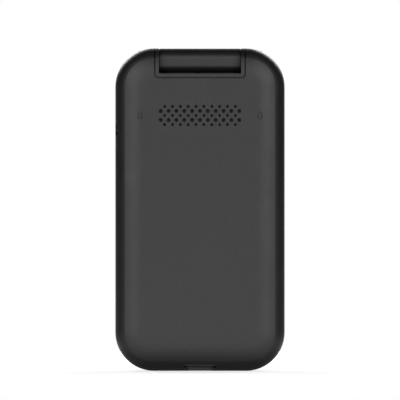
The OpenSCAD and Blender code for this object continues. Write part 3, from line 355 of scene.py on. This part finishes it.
FINISHES = {
    "cover_plastic": black_abs,
    "lid_plastic": black_abs,
    "housing_plastic": moulded_abs("housing_textured_abs", "#1a1a1b", 0.43),
    "key_plastic": lacquer,
    "ring_plastic": satin_lacquer("graphite_ring_lacquer", "#3a3b3e", 0.26),
    "pad_rubber": silicone_rubber("black_pad_rubber", "#232324"),
    "key_silicone": silicone_rubber("grey_mat_silicone", "#6d6f73"),
    "screw_steel": plated_metal("zinc_plated_screw_steel", "#a9abae", (0.25, 0.4), (1, 1, 1), 0.4),
    "can_steel": plated_metal("tinned_sheet_steel", "#b9bcc0", (0.24, 0.4), (0.15, 1, 1), 0.5),
    "hinge_steel": turned_steel("turned_hinge_steel", "#9fa1a4"),
    "board_laminate": circuit_board("green_glass_epoxy", "#0f4a2c", "#1f7a4a", 0.5),
    "dome_film": tracked_film("clear_polyester_film", "#c9c6b8", "#a9aeb0", 3.0),
    "battery_wrap": battery_sleeve("black_battery_sleeve", "#1b1c20"),
    "contact_brass": gold_plate,
    "socket_plastic": glass_filled_nylon("black_filled_nylon", resin_black),
    "speaker_frame": glass_filled_nylon("grey_filled_nylon", "#2c2d30"),
    "mesh_cloth": woven("black_acoustic_cloth", "#2e2e30", 0.12, 0.0, (0.7, 0.85)),
    "mesh_steel": woven("woven_steel_wire", "#7d8084", 0.1, 1.0, (0.3, 0.45)),
    "flex_film": tracked_film("polyimide_flat_cable", "#a8541a", "#c98a4a", 0.5),
    "window_acrylic": hard_coated_acrylic("main_window_acrylic", window_print, panel_grey,
                                          inner_low - to_window, inner_high),
    "display_glass": display_glass("switched_off_display_glass", "#0c0d11", "#101218"),
    "camera_body": glass_filled_nylon("black_camera_nylon", "#101113"),
    "trim_aluminium": anodised_aluminium("grey_anodised_ring", "#8e9094"),
    "flash_diffuser": ringed_polycarbonate("ringed_flash_polycarbonate", "#e6e2d2", "#d8c24a"),
}
for name, made in NODES.items():
    made.data.materials.clear()
    made.data.materials.append(FINISHES[SLOT_OF[name]])


def refinish(node, finish):
    """Gives one node a finish of its own."""
    NODES[node].data.materials[0] = finish


refinish("outer_window", hard_coated_acrylic("outer_window_acrylic", window_print, panel_grey,
                                             outer_low, outer_high + to_window))
block_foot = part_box("battery_contacts")[0].z + 0.33 * MM
refinish("battery_contacts", contact_block("contact_springs_in_resin", gold, resin_black, block_foot))


# ---- Meshes: the small tools that build them

def rounded(w, h, r, steps=6):
    """Points round a rectangle with rounded corners, counter-clockwise."""
    points = []
    for i, (sx, sy) in enumerate([(1, 1), (-1, 1), (-1, -1), (1, -1)]):
        for k in range(steps + 1):
            turn = math.radians(90 * (i + k / steps))
            points.append((sx * (w / 2 - r) + r * math.cos(turn), sy * (h / 2 - r) + r * math.sin(turn)))
    return points


def ring(radius, steps=48):
    """Points round a circle."""
    turns = [math.tau * i / steps for i in range(steps)]
    return [(radius * math.cos(t), radius * math.sin(t)) for t in turns]


def skin(bm, rings, hollow=False):
    """Joins a row of rings that have the same number of points. A hollow one is joined back to its first
    ring, and any other is closed at its ends."""
    rows = [[bm.verts.new(point) for point in points] for points in rings]
    for near, far in zip(rows, rows[1:] + rows[:1] if hollow else rows[1:]):
        for i, vert in enumerate(near):
            k = (i + 1) % len(near)
            bm.faces.new((vert, near[k], far[k], far[i]))
    if not hollow:
        bm.faces.new(rows[0])
        bm.faces.new(rows[-1])


def upright(points, centre, y, shrink=1.0):
    """An outline in X and Z, placed round a centre at a depth y."""
    return [(centre.x + shrink * a, y, centre.z + shrink * b) for a, b in points]


def piece(name, bm, finish, body, replaced=()):
    """Turns a bmesh into a piece that rides on a body, with edges of more than 40 degrees left sharp."""
    bmesh.ops.recalc_face_normals(bm, faces=bm.faces)
    mesh = bpy.data.meshes.new(name)
    bm.to_mesh(mesh)
    bm.free()
    mesh.shade_smooth()
    mesh.set_sharp_from_angle(angle=math.radians(40))
    mesh.materials.append(finish)
    made = bpy.data.objects.new(name, mesh)
    bpy.context.scene.collection.objects.link(made)
    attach(made, body)
    if replaced:
        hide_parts(*replaced)
    return made


def solids_of(node):
    """The lowest and highest corner of each separate solid in a node, from the lowest solid up."""
    bm = bmesh.new()
    bm.from_mesh(NODES[node].data)
    bmesh.ops.remove_doubles(bm, verts=bm.verts, dist=0.002 * MM)
    left, boxes = set(bm.verts), []
    while left:
        found, edge = set(), [left.pop()]
        while edge:
            vert = edge.pop()
            found.add(vert)
            near = {e.other_vert(vert) for e in vert.link_edges} & left
            left -= near
            edge += near
        spans = [[v.co[k] for v in found] for k in range(3)]
        boxes.append((Vector([min(s) for s in spans]), Vector([max(s) for s in spans])))
    bm.free()
    return sorted(boxes, key=lambda box: (round(box[0].z, 5), box[0].x))


# ---- Screws

def cross_recess(arm, half):
    """A plus-shaped outline, each of its twelve sides cut in three."""
    corners = []
    for c, s in ((1, 0), (0, 1), (-1, 0), (0, -1)):
        corners += [(a * c - b * s, a * s + b * c) for a, b in ((arm, -half), (arm, half), (half, half))]
    points = []
    for (ax, ay), (bx, by) in zip(corners, corners[1:] + corners[:1]):
        points += [(ax + (bx - ax) * k / 3, ay + (by - ay) * k / 3) for k in range(3)]
    return points


def screws(name, node, body):
    """Pan-head screws with a cross recess and a rolled thread, where the node has its plain ones."""
    head_t, head_edge, shank_r, tip_r = 0.6 * MM, 0.22 * MM, 0.7 * MM, 0.4 * MM
    pitch, thread_depth = 0.4 * MM, 0.13 * MM
    plus = cross_recess(0.75 * MM, 0.17 * MM)
    plus_depth, plus_floor = 0.38 * MM, 0.55
    turns = [math.atan2(b, a) for a, b in plus]
    bm = bmesh.new()
    for low, high in solids_of(node):
        centre, head_r, length = (low + high) / 2, (high.x - low.x) / 2, high.y - low.y
        rings = [upright(plus, centre, low.y + plus_depth, plus_floor), upright(plus, centre, low.y)]
        profile = [(head_r - head_edge, 0), (head_r - 0.06 * MM, 0.06 * MM), (head_r, head_edge),
                   (head_r, head_t), (shank_r, head_t)]
        for k in range(int((length - head_t) / pitch)):
            crest, root = head_t + (k + 0.3) * pitch, head_t + (k + 0.8) * pitch
            profile += [(shank_r, crest), (shank_r - thread_depth, root)]
        profile.append((tip_r, length))
        for r, depth in profile:
            rings.append([(centre.x + r * math.cos(t), low.y + depth, centre.z + r * math.sin(t))
                          for t in turns])
        skin(bm, rings)
    piece(name, bm, FINISHES["screw_steel"], body, [node])


# ---- Keys and their marks

FLANGE = 0.4 * MM
FLANGE_T = 0.35 * MM
CAP_CORNER = 2.6 * MM
CAP_EDGE = 0.35 * MM
CAP_CROWN = 60 * MM
RING_EDGE = 0.3 * MM
RING_GAP = 0.3 * MM
INK = 0.02 * MM


def arc_steps(radius, count=4):
    """How far in and how far down a rounded edge is at each step, from its foot to its top."""
    turns = [math.radians(90 * k / count) for k in range(count + 1)]
    return [(radius * (1 - math.cos(t)), radius * (1 - math.sin(t))) for t in turns]


def crown(x):
    """How far a key's top has dropped at x from its middle."""
    return x * x / (2 * CAP_CROWN)


def dome_drop(radius, away):
    """How far a dome of that radius has dropped at a distance from its middle."""
    return radius - math.sqrt(radius * radius - away * away)


def key_cap(node):
    """A moulded key: its flange, straight sides, a rounded edge and a crowned top."""
    low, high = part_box(node)
    centre = (low + high) / 2
    w, h, r = high.x - low.x - 2 * FLANGE, high.z - low.z - 2 * FLANGE, CAP_CORNER
    skirt = rounded(w + 2 * FLANGE, h + 2 * FLANGE, r + FLANGE)
    rings = [upright(skirt, centre, low.y), upright(skirt, centre, low.y + FLANGE_T),
             upright(rounded(w, h, r), centre, low.y + FLANGE_T)]
    for inset, drop in arc_steps(CAP_EDGE):
        edge = rounded(w - 2 * inset, h - 2 * inset, r - inset)
        rings.append([(centre.x + a, high.y - drop - crown(a), centre.z + b) for a, b in edge])
    top = rounded(w - 2 * CAP_EDGE, h - 2 * CAP_EDGE, r - CAP_EDGE)
    for share in (0.8, 0.6, 0.4, 0.2):
        rings.append([(centre.x + share * a, high.y - crown(share * a), centre.z + share * b)
                      for a, b in top])
    bm = bmesh.new()
    skin(bm, rings)
    piece(node + "_cap", bm, lacquer, BODY_OF[node], [node])


def four_way_ring():
    """The ring: a flange below, a dished top, and rounded edges inside and out."""
    low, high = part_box("nav_ring")
    key_low, key_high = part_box("nav_centre")
    inner = (key_high.x - key_low.x) / 2 + RING_GAP
    skirt_r = (high.x - low.x) / 2
    outer = skirt_r - FLANGE
    dish, steps = 0.28 * MM, 12
    points = [(inner, low.y), (skirt_r, low.y), (skirt_r, low.y + FLANGE_T), (outer, low.y + FLANGE_T)]
    points += [(outer - i, high.y - d) for i, d in arc_steps(RING_EDGE)]
    middle, half = (inner + outer) / 2, (outer - inner) / 2 - RING_EDGE
    for k in range(1, steps):
        share = 1 - 2 * k / steps
        points.append((middle + half * share, high.y - dish * (1 - share * share)))
    points += [(inner + i, high.y - d) for i, d in reversed(arc_steps(RING_EDGE))]
    bm = bmesh.new()
    skin(bm, [upright(ring(r, 72), (low + high) / 2, y) for r, y in points], hollow=True)
    piece("four_way_ring", bm, FINISHES["ring_plastic"], BODY_OF["nav_ring"], ["nav_ring"])


def centre_key():
    """The key in the ring: a shallow dome with a rounded edge."""
    low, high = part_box("nav_centre")
    outer, dome, steps = (high.x - low.x) / 2, 30 * MM, 8
    shoulder = high.y - dome_drop(dome, outer - RING_EDGE)
    points = [(outer, low.y)] + [(outer - i, shoulder - d) for i, d in arc_steps(RING_EDGE)]
    for k in range(steps - 1, 0, -1):
        points.append((outer * k / steps, high.y - dome_drop(dome, outer * k / steps)))
    bm = bmesh.new()
    skin(bm, [upright(ring(r, 72), (low + high) / 2, y) for r, y in points])
    piece("centre_key_cap", bm, lacquer, BODY_OF["nav_centre"], ["nav_centre"])


def text_outline(text, size):
    """Filled flat shapes of some characters, as points to the reader's right and up, with their faces."""
    curve = bpy.data.curves.new("characters", "FONT")
    curve.body, curve.size = text, size
    curve.align_x, curve.align_y = "CENTER", "CENTER"
    curve.resolution_u = 6
    made = bpy.data.objects.new("characters", curve)
    bpy.context.scene.collection.objects.link(made)
    mesh = bpy.data.meshes.new_from_object(made.evaluated_get(bpy.context.evaluated_depsgraph_get()))
    shape = [(v.co.x, v.co.y) for v in mesh.vertices], [tuple(p.vertices) for p in mesh.polygons]
    bpy.data.objects.remove(made)
    bpy.data.curves.remove(curve)
    bpy.data.meshes.remove(mesh)
    return shape


def polygon(points):
    """An outline as one face."""
    return points, [tuple(range(len(points)))]


def turned(points, turn):
    """An outline turned about its origin."""
    c, s = math.cos(turn), math.sin(turn)
    return [(a * c - b * s, a * s + b * c) for a, b in points]


def handset(turn):
    """A telephone handset as one outline: a slim bent grip between the ear and mouth ends."""
    bend, half_grip, end_drop, half_sweep = 3.1 * MM, 0.42 * MM, 1.1 * MM, 44
    count, end = 28, 6
    outer, inner = [], []
    for k in range(count + 1):
        t = math.radians(90 - half_sweep + 2 * half_sweep * k / count)
        drop = half_grip if end <= k <= count - end else end_drop
        outer.append(((bend + half_grip) * math.cos(t), (bend + half_grip) * math.sin(t) - bend + 0.3 * MM))
        inner.append(((bend - drop) * math.cos(t), (bend - drop) * math.sin(t) - bend + 0.3 * MM))
    return polygon(turned(outer + inner[::-1], turn))


def mark(name, node, shapes, finish, dip=None):
    """Prints shapes on a key's top, each ((points, faces), right, up) as its user sees the key. The ink
    follows a key cap's crown, or lies a flat dip below the top. Cuts across it let it bend."""
    low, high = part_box(node)
    centre = (low + high) / 2
    bm = bmesh.new()
    for (points, faces), right, up in shapes:
        verts = [bm.verts.new((centre.x - right - a, 0, centre.z + up + b)) for a, b in points]
        for face in faces:
            if len(face) > 2:
                bm.faces.new([verts[i] for i in face])
    strips = 24
    for k in range(1, strips):
        bmesh.ops.bisect_plane(bm, geom=bm.verts[:] + bm.edges[:] + bm.faces[:], plane_no=(1, 0, 0),
                               plane_co=(low.x + (high.x - low.x) * k / strips, 0, 0))
    for vert in bm.verts:
        vert.co.y = high.y + INK - (crown(vert.co.x - centre.x) if dip is None else dip)
    made = piece(name, bm, finish, BODY_OF[node])
    for face in made.data.polygons:
        if face.normal.y < 0:
            face.flip()


LETTERS = {"2": "abc", "3": "def", "4": "ghi", "5": "jkl", "6": "mno", "7": "pqrs", "8": "tuv", "9": "wxyz"}


def number_marks():
    """White numbers, with smaller letters to their right, and a larger star, lowered to the middle."""
    signs = {"star": "*", "hash": "#"}
    number_size, letter_size, star_size = 4.6 * MM, 2.7 * MM, 5.6 * MM
    for name in [n for n in NODES if n.startswith("key_") and (n[4:].isdigit() or n[4:] in signs)]:
        sign = signs.get(name[4:], name[4:])
        size, up = (star_size, -0.9 * MM) if sign == "*" else (number_size, 0)
        shapes = [(text_outline(sign, size), -2.6 * MM if sign in LETTERS else 0, up)]
        if sign in LETTERS:
            shapes.append((text_outline(LETTERS[sign], letter_size), 2.2 * MM, -0.35 * MM))
        mark(name + "_mark", name, shapes, white_ink)


def function_marks():
    """Handsets, bars and arrows, and a square on the key in the ring."""
    green, red = screen_print("green_key_ink", "#3fa85c"), screen_print("red_key_ink", "#c4423a")
    bar = polygon(rounded(3.6 * MM, 0.7 * MM, 0.3 * MM, 3))
    mark("key_call_mark", "key_call", [(handset(math.radians(50)), 0, 0)], green)
    mark("key_end_mark", "key_end", [(handset(0), 0, 0)], red)
    for side in ("left", "right"):
        mark(f"key_soft_{side}_mark", f"key_soft_{side}", [(bar, 0, 0)], white_ink)
    low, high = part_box("nav_ring")
    key_low, key_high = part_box("nav_centre")
    middle = (high.x - low.x + key_high.x - key_low.x) / 4
    arrow = [(0, 0.55 * MM), (-0.8 * MM, -0.45 * MM), (0.8 * MM, -0.45 * MM)]
    shapes = []
    for quarter in range(4):
        turn = quarter * math.pi / 2
        shapes.append((polygon(turned(arrow, turn)), -middle * math.sin(turn), middle * math.cos(turn)))
    mark("four_way_marks", "nav_ring", shapes, white_ink, dip=0.26 * MM)
    square = rounded(2.2 * MM, 2.2 * MM, 0.4 * MM, 3)
    inner = [(a * 0.7, b * 0.7) for a, b in square]
    count = len(square)
    sides = [(i, (i + 1) % count, count + (i + 1) % count, count + i) for i in range(count)]
    mark("centre_key_mark", "nav_centre", [((square + inner, sides), 0, 0)], white_ink, dip=0.02 * MM)


# ---- Battery, contacts and lenses

PAD_PITCH = 3 * MM


def battery_label():
    """A blank paper label in the sleeve, and plus and minus signs beside the contacts."""
    low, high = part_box("battery_pack")
    centre = (low + high) / 2 - Vector((0, 0, 3 * MM))
    w, h, r, t = high.x - low.x - 6 * MM, (high.z - low.z) * 0.62, 1.5 * MM, 0.05 * MM
    edge, face = rounded(w, h, r), rounded(w - 0.1 * MM, h - 0.1 * MM, r - 0.05 * MM)
    bm = bmesh.new()
    skin(bm, [upright(edge, centre, low.y + 0.02 * MM), upright(edge, centre, low.y - t),
              upright(face, centre, low.y - t - 0.01 * MM)])
    paper = screen_print("blank_battery_label", "#b9bab6")
    piece("battery_label", bm, paper, "battery")

    arm, bar = 1.8 * MM, 0.32 * MM
    bm = bmesh.new()
    for x, a, b in ((-PAD_PITCH, arm, bar), (-PAD_PITCH, bar, arm), (PAD_PITCH, arm, bar)):
        at, edge = Vector((x, 0, high.z - 2.2 * MM)), rounded(a, b, 0.05 * MM, 2)
        skin(bm, [upright(edge, at, low.y + 0.01 * MM), upright(edge, at, low.y - INK)])
    piece("battery_polarity_marks", bm, white_ink, "battery")


def plates(name, body, finish, boxes, radius):
    """Flat plates with rounded corners, each from (centre, width, height, thickness), facing along Y."""
    bm = bmesh.new()
    for centre, w, h, t in boxes:
        edge = rounded(w, h, radius, 4)
        inset = 0.3 * min(t, radius)
        small = rounded(w - 2 * inset, h - 2 * inset, radius - inset, 4)
        skin(bm, [upright(small, centre, centre.y - t / 2), upright(edge, centre, centre.y - t / 2 + inset),
                  upright(edge, centre, centre.y + t / 2)])
    return piece(name, bm, finish, body)


def battery_pads():
    """Gold pads at the bottom of the three recesses in the cell's upper end."""
    low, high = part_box("battery_pack")
    floor, t = high.z - 0.3 * MM, 0.1 * MM
    back, front = low.y + 1.1 * MM, high.y - 0.9 * MM
    bm = bmesh.new()
    for x in (-PAD_PITCH, 0, PAD_PITCH):
        edge = [(x + a, (back + front) / 2 + b) for a, b in rounded(1.6 * MM, front - back, 0.25 * MM, 3)]
        skin(bm, [[(a, b, z) for a, b in edge] for z in (floor - t / 2, floor + t / 2)])
    piece("battery_gold_pads", bm, gold_plate, "battery")


def card_contacts():
    """Six sprung fingers in the card reader's window, in two rows."""
    low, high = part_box("sim_reader")
    centre = (low + high) / 2
    pitch, half_rows = 2.54 * MM, 2 * MM
    boxes = []
    for row in (-1, 1):
        for col in (-1, 0, 1):
            at = Vector((centre.x + col * pitch, low.y + 1.05 * MM, centre.z + row * half_rows))
            boxes.append((at, 1.1 * MM, 2.6 * MM, 0.2 * MM))
    plates("card_reader_contacts", "base", gold_plate, boxes, 0.4 * MM)


def charging_contacts():
    """Gold strips on both sides of the charging socket's tongue. The real ones, 0.5 mm apart, are too fine
    to show, so they are drawn 0.95 mm apart."""
    low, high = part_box("usb_socket")
    count, pitch, half_tongue = 6, 0.95 * MM, 0.36 * MM
    middle_y = (low.y + high.y) / 2
    boxes = []
    for side in (-1, 1):
        for i in range(count):
            at = Vector(((i - (count - 1) / 2) * pitch, middle_y + side * half_tongue, low.z + 3.4 * MM))
            boxes.append((at, 0.4 * MM, 3.6 * MM, 0.06 * MM))
    plates("charging_socket_contacts", "base", gold_plate, boxes, 0.1 * MM)


def camera_lens():
    """The lens behind its cover glass: stepped black baffles and a coated, domed front element."""
    low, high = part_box("camera_glass")
    centre, floor = (low + high) / 2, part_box("camera_module")[1].y
    steps = [(2.85, 0.02), (2.85, 0.3), (2.4, 0.3), (2.4, 0.12)]
    steps += [(2.0, 0.12), (2.0, 0.3), (1.6, 0.3), (1.6, 0.06)]
    bm = bmesh.new()
    skin(bm, [upright(ring(r * MM), centre, floor + rise * MM) for r, rise in steps])
    piece("lens_baffles", bm, FINISHES["camera_body"], "lid")

    lens_r, dome, top = 1.5 * MM, 2.6 * MM, floor + 0.32 * MM
    rings = [upright(ring(lens_r), centre, floor + 0.05 * MM)]
    for share in (1.0, 0.9, 0.75, 0.55, 0.35, 0.15, 0.03):
        rings.append(upright(ring(share * lens_r), centre, top - dome_drop(dome, share * lens_r)))
    bm = bmesh.new()
    skin(bm, rings)
    glass = coated_glass("coated_lens_glass", "#0a0d1c", "#8a7bd8")
    piece("lens_front_element", bm, glass, "lid")


# ---- The back: barrel, rest pads, grille and nail notch

def arc(radius, first, last, lift=0.0, shift=0.0):
    """Points along a circle every 6 degrees, moved by a shift and a lift."""
    turns = [math.radians(a) for a in range(first, last, 6)]
    return [(shift + radius * math.cos(t), lift + radius * math.sin(t)) for t in turns]


def barrel_end_collars():
    """The raised faces that the barrel turns on, moulded round the bore at its two ends. They nearly close
    the gaps beside it. Their section is the barrel's: round in front and below, and flatter at the back."""
    low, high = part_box("hinge_can")
    axis = (low + high) / 2
    full, flat, drop = 3.9 * MM, 0.6 * MM, 1.6 * MM
    back, foot = full - flat, full - drop
    section = arc(full, -90, 91) + arc(back, 96, 181, lift=flat) + arc(foot, 180, 265, -drop, foot - back)
    bore_r = 2.5 * MM
    bore = [(bore_r * a / math.hypot(a, b), bore_r * b / math.hypot(a, b)) for a, b in section]
    half_len = 13.5 * MM
    root, shoulder, end = half_len - 0.1 * MM, half_len + 0.26 * MM, half_len + 0.29 * MM
    rows = [(bore, root, 1), (section, root, 1), (section, shoulder, 1), (section, end, 0.995),
            (bore, end, 1)]
    bm = bmesh.new()
    for side in (-1, 1):
        skin(bm, [[(side * x, axis.y + share * a, axis.z + share * b) for a, b in outline]
                  for outline, x, share in rows], hollow=True)
    piece("barrel_end_collars", bm, black_abs, "lid")


def rest_pads():
    """Rubber pads with a rounded edge, each in a seat that is flush with the cover's crowned face."""
    cover, flat_half, crown_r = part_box("battery_cover")[0].y, 19.1 * MM, 21 * MM
    seat_abs = moulded_abs("smooth_edged_seat_abs", cover_black, 0.4, edge_mm=0.01)
    pad_w, pad_h, joint, recess_gap = 1.28, 2.36, 0.1, 0.24

    def layer(centre, w, h, rise):
        """A round-ended outline, at a height in mm above the cover's face."""
        outline = []
        for a, b in rounded(w * MM, h * MM, 0.49 * w * MM):
            x, z = centre.x + a, centre.z + b
            fall = max(0, abs(x) - flat_half) ** 2 / (2 * crown_r)
            outline.append((x, cover + fall - rise * MM, z))
        return outline

    seats, pads = bmesh.new(), bmesh.new()
    for low, high in solids_of("cover_pads"):
        centre = (low + high) / 2
        outer = (high.x - low.x) / MM + 2 * recess_gap, (high.z - low.z) / MM + 2 * recess_gap
        inner = pad_w + 2 * joint, pad_h + 2 * joint
        rows = [(outer, -0.06), (outer, 0.005), (inner, 0.005), (inner, -0.3)]
        skin(seats, [layer(centre, *size, rise) for size, rise in rows], hollow=True)
        rows = [(0, -0.4), (0, 0.04), (0.03, 0.07), (0.09, 0.092), (0.18, 0.1)]
        skin(pads, [layer(centre, pad_w - 2 * inset, pad_h - 2 * inset, rise) for inset, rise in rows])
    piece("pad_seats", seats, seat_abs, "battery_cover")
    piece("rest_pads", pads, FINISHES["pad_rubber"], "battery_cover", ["cover_pads"])


def grille_hole_edges():
    """The rounded edges of the grille's holes. Rows of ten small holes and eleven large ones take turns."""
    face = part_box("battery_cover")[0].y
    pad_low, pad_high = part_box("cover_pads")
    middle_z, pitch_x, pitch_z = (pad_low.z + pad_high.z) / 2, 2.64 * MM, 1.52 * MM
    bm = bmesh.new()
    for row in range(-2, 3):
        count, hole, edge = (11, 0.6, 0.08) if row % 2 else (10, 0.45, 0.07)
        wall = hole - 0.005
        profile = [(wall, 0.2), (wall, 0.03), (hole + 0.02, 0), (hole + edge, -0.004), (hole + edge, 0.1)]
        for col in range(count):
            centre = Vector(((col - (count - 1) / 2) * pitch_x, 0, middle_z + row * pitch_z))
            rings = [upright(ring(r * MM, 24), centre, face + depth * MM) for r, depth in profile]
            skin(bm, rings, hollow=True)
    smooth = pin_polished_abs("pin_polished_abs", cover_black)
    piece("grille_hole_edges", bm, smooth, "battery_cover")


def nail_notch_bead():
    """A bead along the upper edge of the fingernail notch, for the nail to catch under. Its flat face
    starts on the cover's curved rim, and its ends taper into the rim."""
    half_w, notch_h, rim_r, rim_depth = 5.3 * MM, 1.65 * MM, 4.6 * MM, 5.32 * MM
    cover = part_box("battery_cover")[0]
    top, foot = notch_h + 0.36 * MM, notch_h - 0.04 * MM
    face = cover.y + rim_depth - math.sqrt(rim_r ** 2 - (rim_r - top) ** 2)
    section = [(face + 0.4 * MM, top + 0.3 * MM), (face, top), (face - 0.01 * MM, top - 0.1 * MM),
               (face, foot + 0.08 * MM), (face + 0.08 * MM, foot), (face + 0.7 * MM, foot)]
    root_y, root_z = face + 0.5 * MM, notch_h + 0.15 * MM
    bm = bmesh.new()
    rings = []
    for along, swell in ((-1, 0.2), (-0.97, 0.75), (-0.93, 1), (0.93, 1), (0.97, 0.75), (1, 0.2)):
        rings.append([(along * half_w, root_y + (y - root_y) * swell, root_z + (z - root_z) * swell)
                      for y, z in section])
    skin(bm, rings)
    piece("nail_notch_bead", bm, black_abs, "battery_cover")


screws("housing_cross_head_screws", "housing_screws", "base")
screws("lid_cross_head_screws", "lid_screws", "lid")
for key in [n for n in NODES if n.startswith("key_") and n != "key_dome_film"]:
    key_cap(key)
four_way_ring()
centre_key()
number_marks()
function_marks()
battery_label()
battery_pads()
card_contacts()
charging_contacts()
camera_lens()
barrel_end_collars()
rest_pads()
grille_hole_edges()
nail_notch_bead()
refinish("camera_glass", clear_glass("clear_camera_glass", "#f2f6f5"))


# ---- Studio

def camera():
    """A long lens square to the back, level with the middle of the picture."""
    view_w, middle_z, distance = 134.8 * MM, 57.5 * MM, 4.0
    data = bpy.data.cameras.new("camera")
    data.sensor_width = 36
    data.lens = data.sensor_width * distance / view_w
    made = bpy.data.objects.new("camera", data)
    made.location = (0, -distance, middle_z)
    made.rotation_euler = (math.pi / 2, 0, 0)
    bpy.context.scene.collection.objects.link(made)
    bpy.context.scene.camera = made


def softbox(name, place, width, height, power):
    """A lamp behind white cloth, turned to the middle of the phone. Only its light is seen."""
    middle = Vector((0, 0, 55 * MM))
    data = bpy.data.lights.new(name, "AREA")
    data.shape = "RECTANGLE"
    data.size, data.size_y = width, height
    data.energy = power
    made = bpy.data.objects.new(name, data)
    made.location = place
    made.rotation_euler = (middle - Vector(place)).to_track_quat("-Z", "Y").to_euler()
    made.visible_camera = False
    bpy.context.scene.collection.objects.link(made)


def looked_at(tree):
    """Two switches: 1 where the eye looks, straight or through glass, and 1 where a shiny face looks."""
    ray = add(tree, "ShaderNodeLightPath").outputs
    seen = add(tree, "ShaderNodeMath", {0: ray["Is Camera Ray"], 1: ray["Is Transmission Ray"]},
               operation="MAXIMUM")
    return seen.outputs[0], ray["Is Glossy Ray"]


def backdrop():
    """A white world to the eye. What shines also sees it white behind the phone, and dark at the sides."""
    world = bpy.data.worlds.new("studio")
    bpy.context.scene.world = world
    world.use_nodes = True
    tree = world.node_tree
    seen, shining = looked_at(tree)
    way = add(tree, "ShaderNodeSeparateXYZ", {0: add(tree, "ShaderNodeTexCoord").outputs["Generated"]})
    behind = add(tree, "ShaderNodeMapRange", {"Value": way.outputs["Y"], "From Min": 0.55, "From Max": 1.0})
    soft = add(tree, "ShaderNodeMath", {0: behind.outputs["Result"], 1: 2.0}, operation="POWER")
    shine = add(tree, "ShaderNodeMath", {0: shining, 1: soft.outputs[0]}, operation="MULTIPLY")
    white = add(tree, "ShaderNodeMath", {0: seen, 1: shine.outputs[0]}, operation="MAXIMUM")
    strength = add(tree, "ShaderNodeMapRange", {"Value": white.outputs[0], "To Min": 0.04, "To Max": 1.0})
    ground = tree.nodes["Background"]
    ground.inputs["Color"].default_value = (1, 1, 1, 1)
    tree.links.new(strength.outputs["Result"], ground.inputs["Strength"])


def white_paper(name, colour):
    """Uncoated paper: dull, with faint fibres. To the eye it brightens to plain white away from the phone,
    and keeps its shadow. What shines sees it glow white from a little way off the foot, with a painted
    shadow nearer the foot, and dark at the sides, where shade is painted."""
    paper, tree, shader, place = finish_of(name, Emission_Color=linear("#ffffff"))
    fibre = add(tree, "ShaderNodeTexNoise", sized(place, 2, Detail=4.0)).outputs["Fac"]
    mottle(tree, shader, fibre, linear(colour), (0.99, 1.01), (0.88, 0.92))
    seen, shining = looked_at(tree)
    reach = add(tree, "ShaderNodeVectorMath", {0: place}, operation="LENGTH")
    fade = add(tree, "ShaderNodeMapRange", {"Value": reach.outputs["Value"], "From Min": 0.05,
               "From Max": 0.45, "To Min": 0.62, "To Max": 1.0})
    glow = add(tree, "ShaderNodeMath", {0: seen, 1: fade.outputs["Result"]}, operation="MULTIPLY")
    foot_half = (28.5 * MM, 9.5 * MM, 0)
    across = add(tree, "ShaderNodeVectorMath", {0: place}, operation="ABSOLUTE").outputs["Vector"]
    past = add(tree, "ShaderNodeVectorMath", {0: across, 1: foot_half}, operation="SUBTRACT")
    clear = add(tree, "ShaderNodeVectorMath", {0: past.outputs["Vector"]}, operation="MAXIMUM")
    away = add(tree, "ShaderNodeVectorMath", {0: clear.outputs["Vector"]}, operation="LENGTH")
    # Painted shadow at the foot: what shines sees no glow within 3 mm of the foot, and the glow rises to 0.8
    # by 28 mm.
    foot = add(tree, "ShaderNodeMapRange", {"Value": away.outputs["Value"], "From Min": 3 * MM,
               "From Max": 28 * MM, "To Max": 0.8}).outputs["Result"]
    side = add(tree, "ShaderNodeSeparateXYZ", {0: across}).outputs["X"]
    # Painted shade at the sides: the glow that shiny faces see fades out from 30 to 70 mm to either side.
    painted_side_shade_fade = add(tree, "ShaderNodeMapRange", {"Value": side, "From Min": 30 * MM, "From Max": 70 * MM,
               "To Min": 1.0, "To Max": 0.0}).outputs["Result"]
    glow_with_painted_shade = add(tree, "ShaderNodeMath", {0: foot, 1: painted_side_shade_fade}, operation="MULTIPLY").outputs[0]
    reflected_glow_with_painted_shade = add(tree, "ShaderNodeMath", {0: shining, 1: glow_with_painted_shade}, operation="MULTIPLY").outputs[0]
    light = add(tree, "ShaderNodeMath", {0: glow.outputs[0], 1: reflected_glow_with_painted_shade}, operation="MAXIMUM").outputs[0]
    tree.links.new(light, shader.inputs["Emission Strength"])
    return paper


def paper_floor():
    """A flat metre of paper to stand on."""
    half = 0.5
    corners = [(-half, -half, 0), (half, -half, 0), (half, half, 0), (-half, half, 0)]
    mesh = bpy.data.meshes.new("floor")
    mesh.from_pydata(corners, [], [(0, 1, 2, 3)])
    floor = bpy.data.objects.new("floor", mesh)
    bpy.context.scene.collection.objects.link(floor)
    mesh.materials.append(white_paper("white_paper", "#e7e7e7"))


camera()
backdrop()
paper_floor()
# Places and sizes in metres, power in watts.
for side in (-1, 1):
    softbox(f"back_softbox_{side}", (side * 0.37, -0.95, 0.3), 0.46, 0.62, 3.25)
    softbox(f"front_softbox_{side}", (side * 0.42, 0.85, 0.62), 0.56, 0.5, 4.2)
    softbox(f"fill_{side}", (side * 0.9, 0, 0.3), 0.6, 0.6, 0.05)

scene = bpy.context.scene
scene.view_settings.view_transform = "Standard"
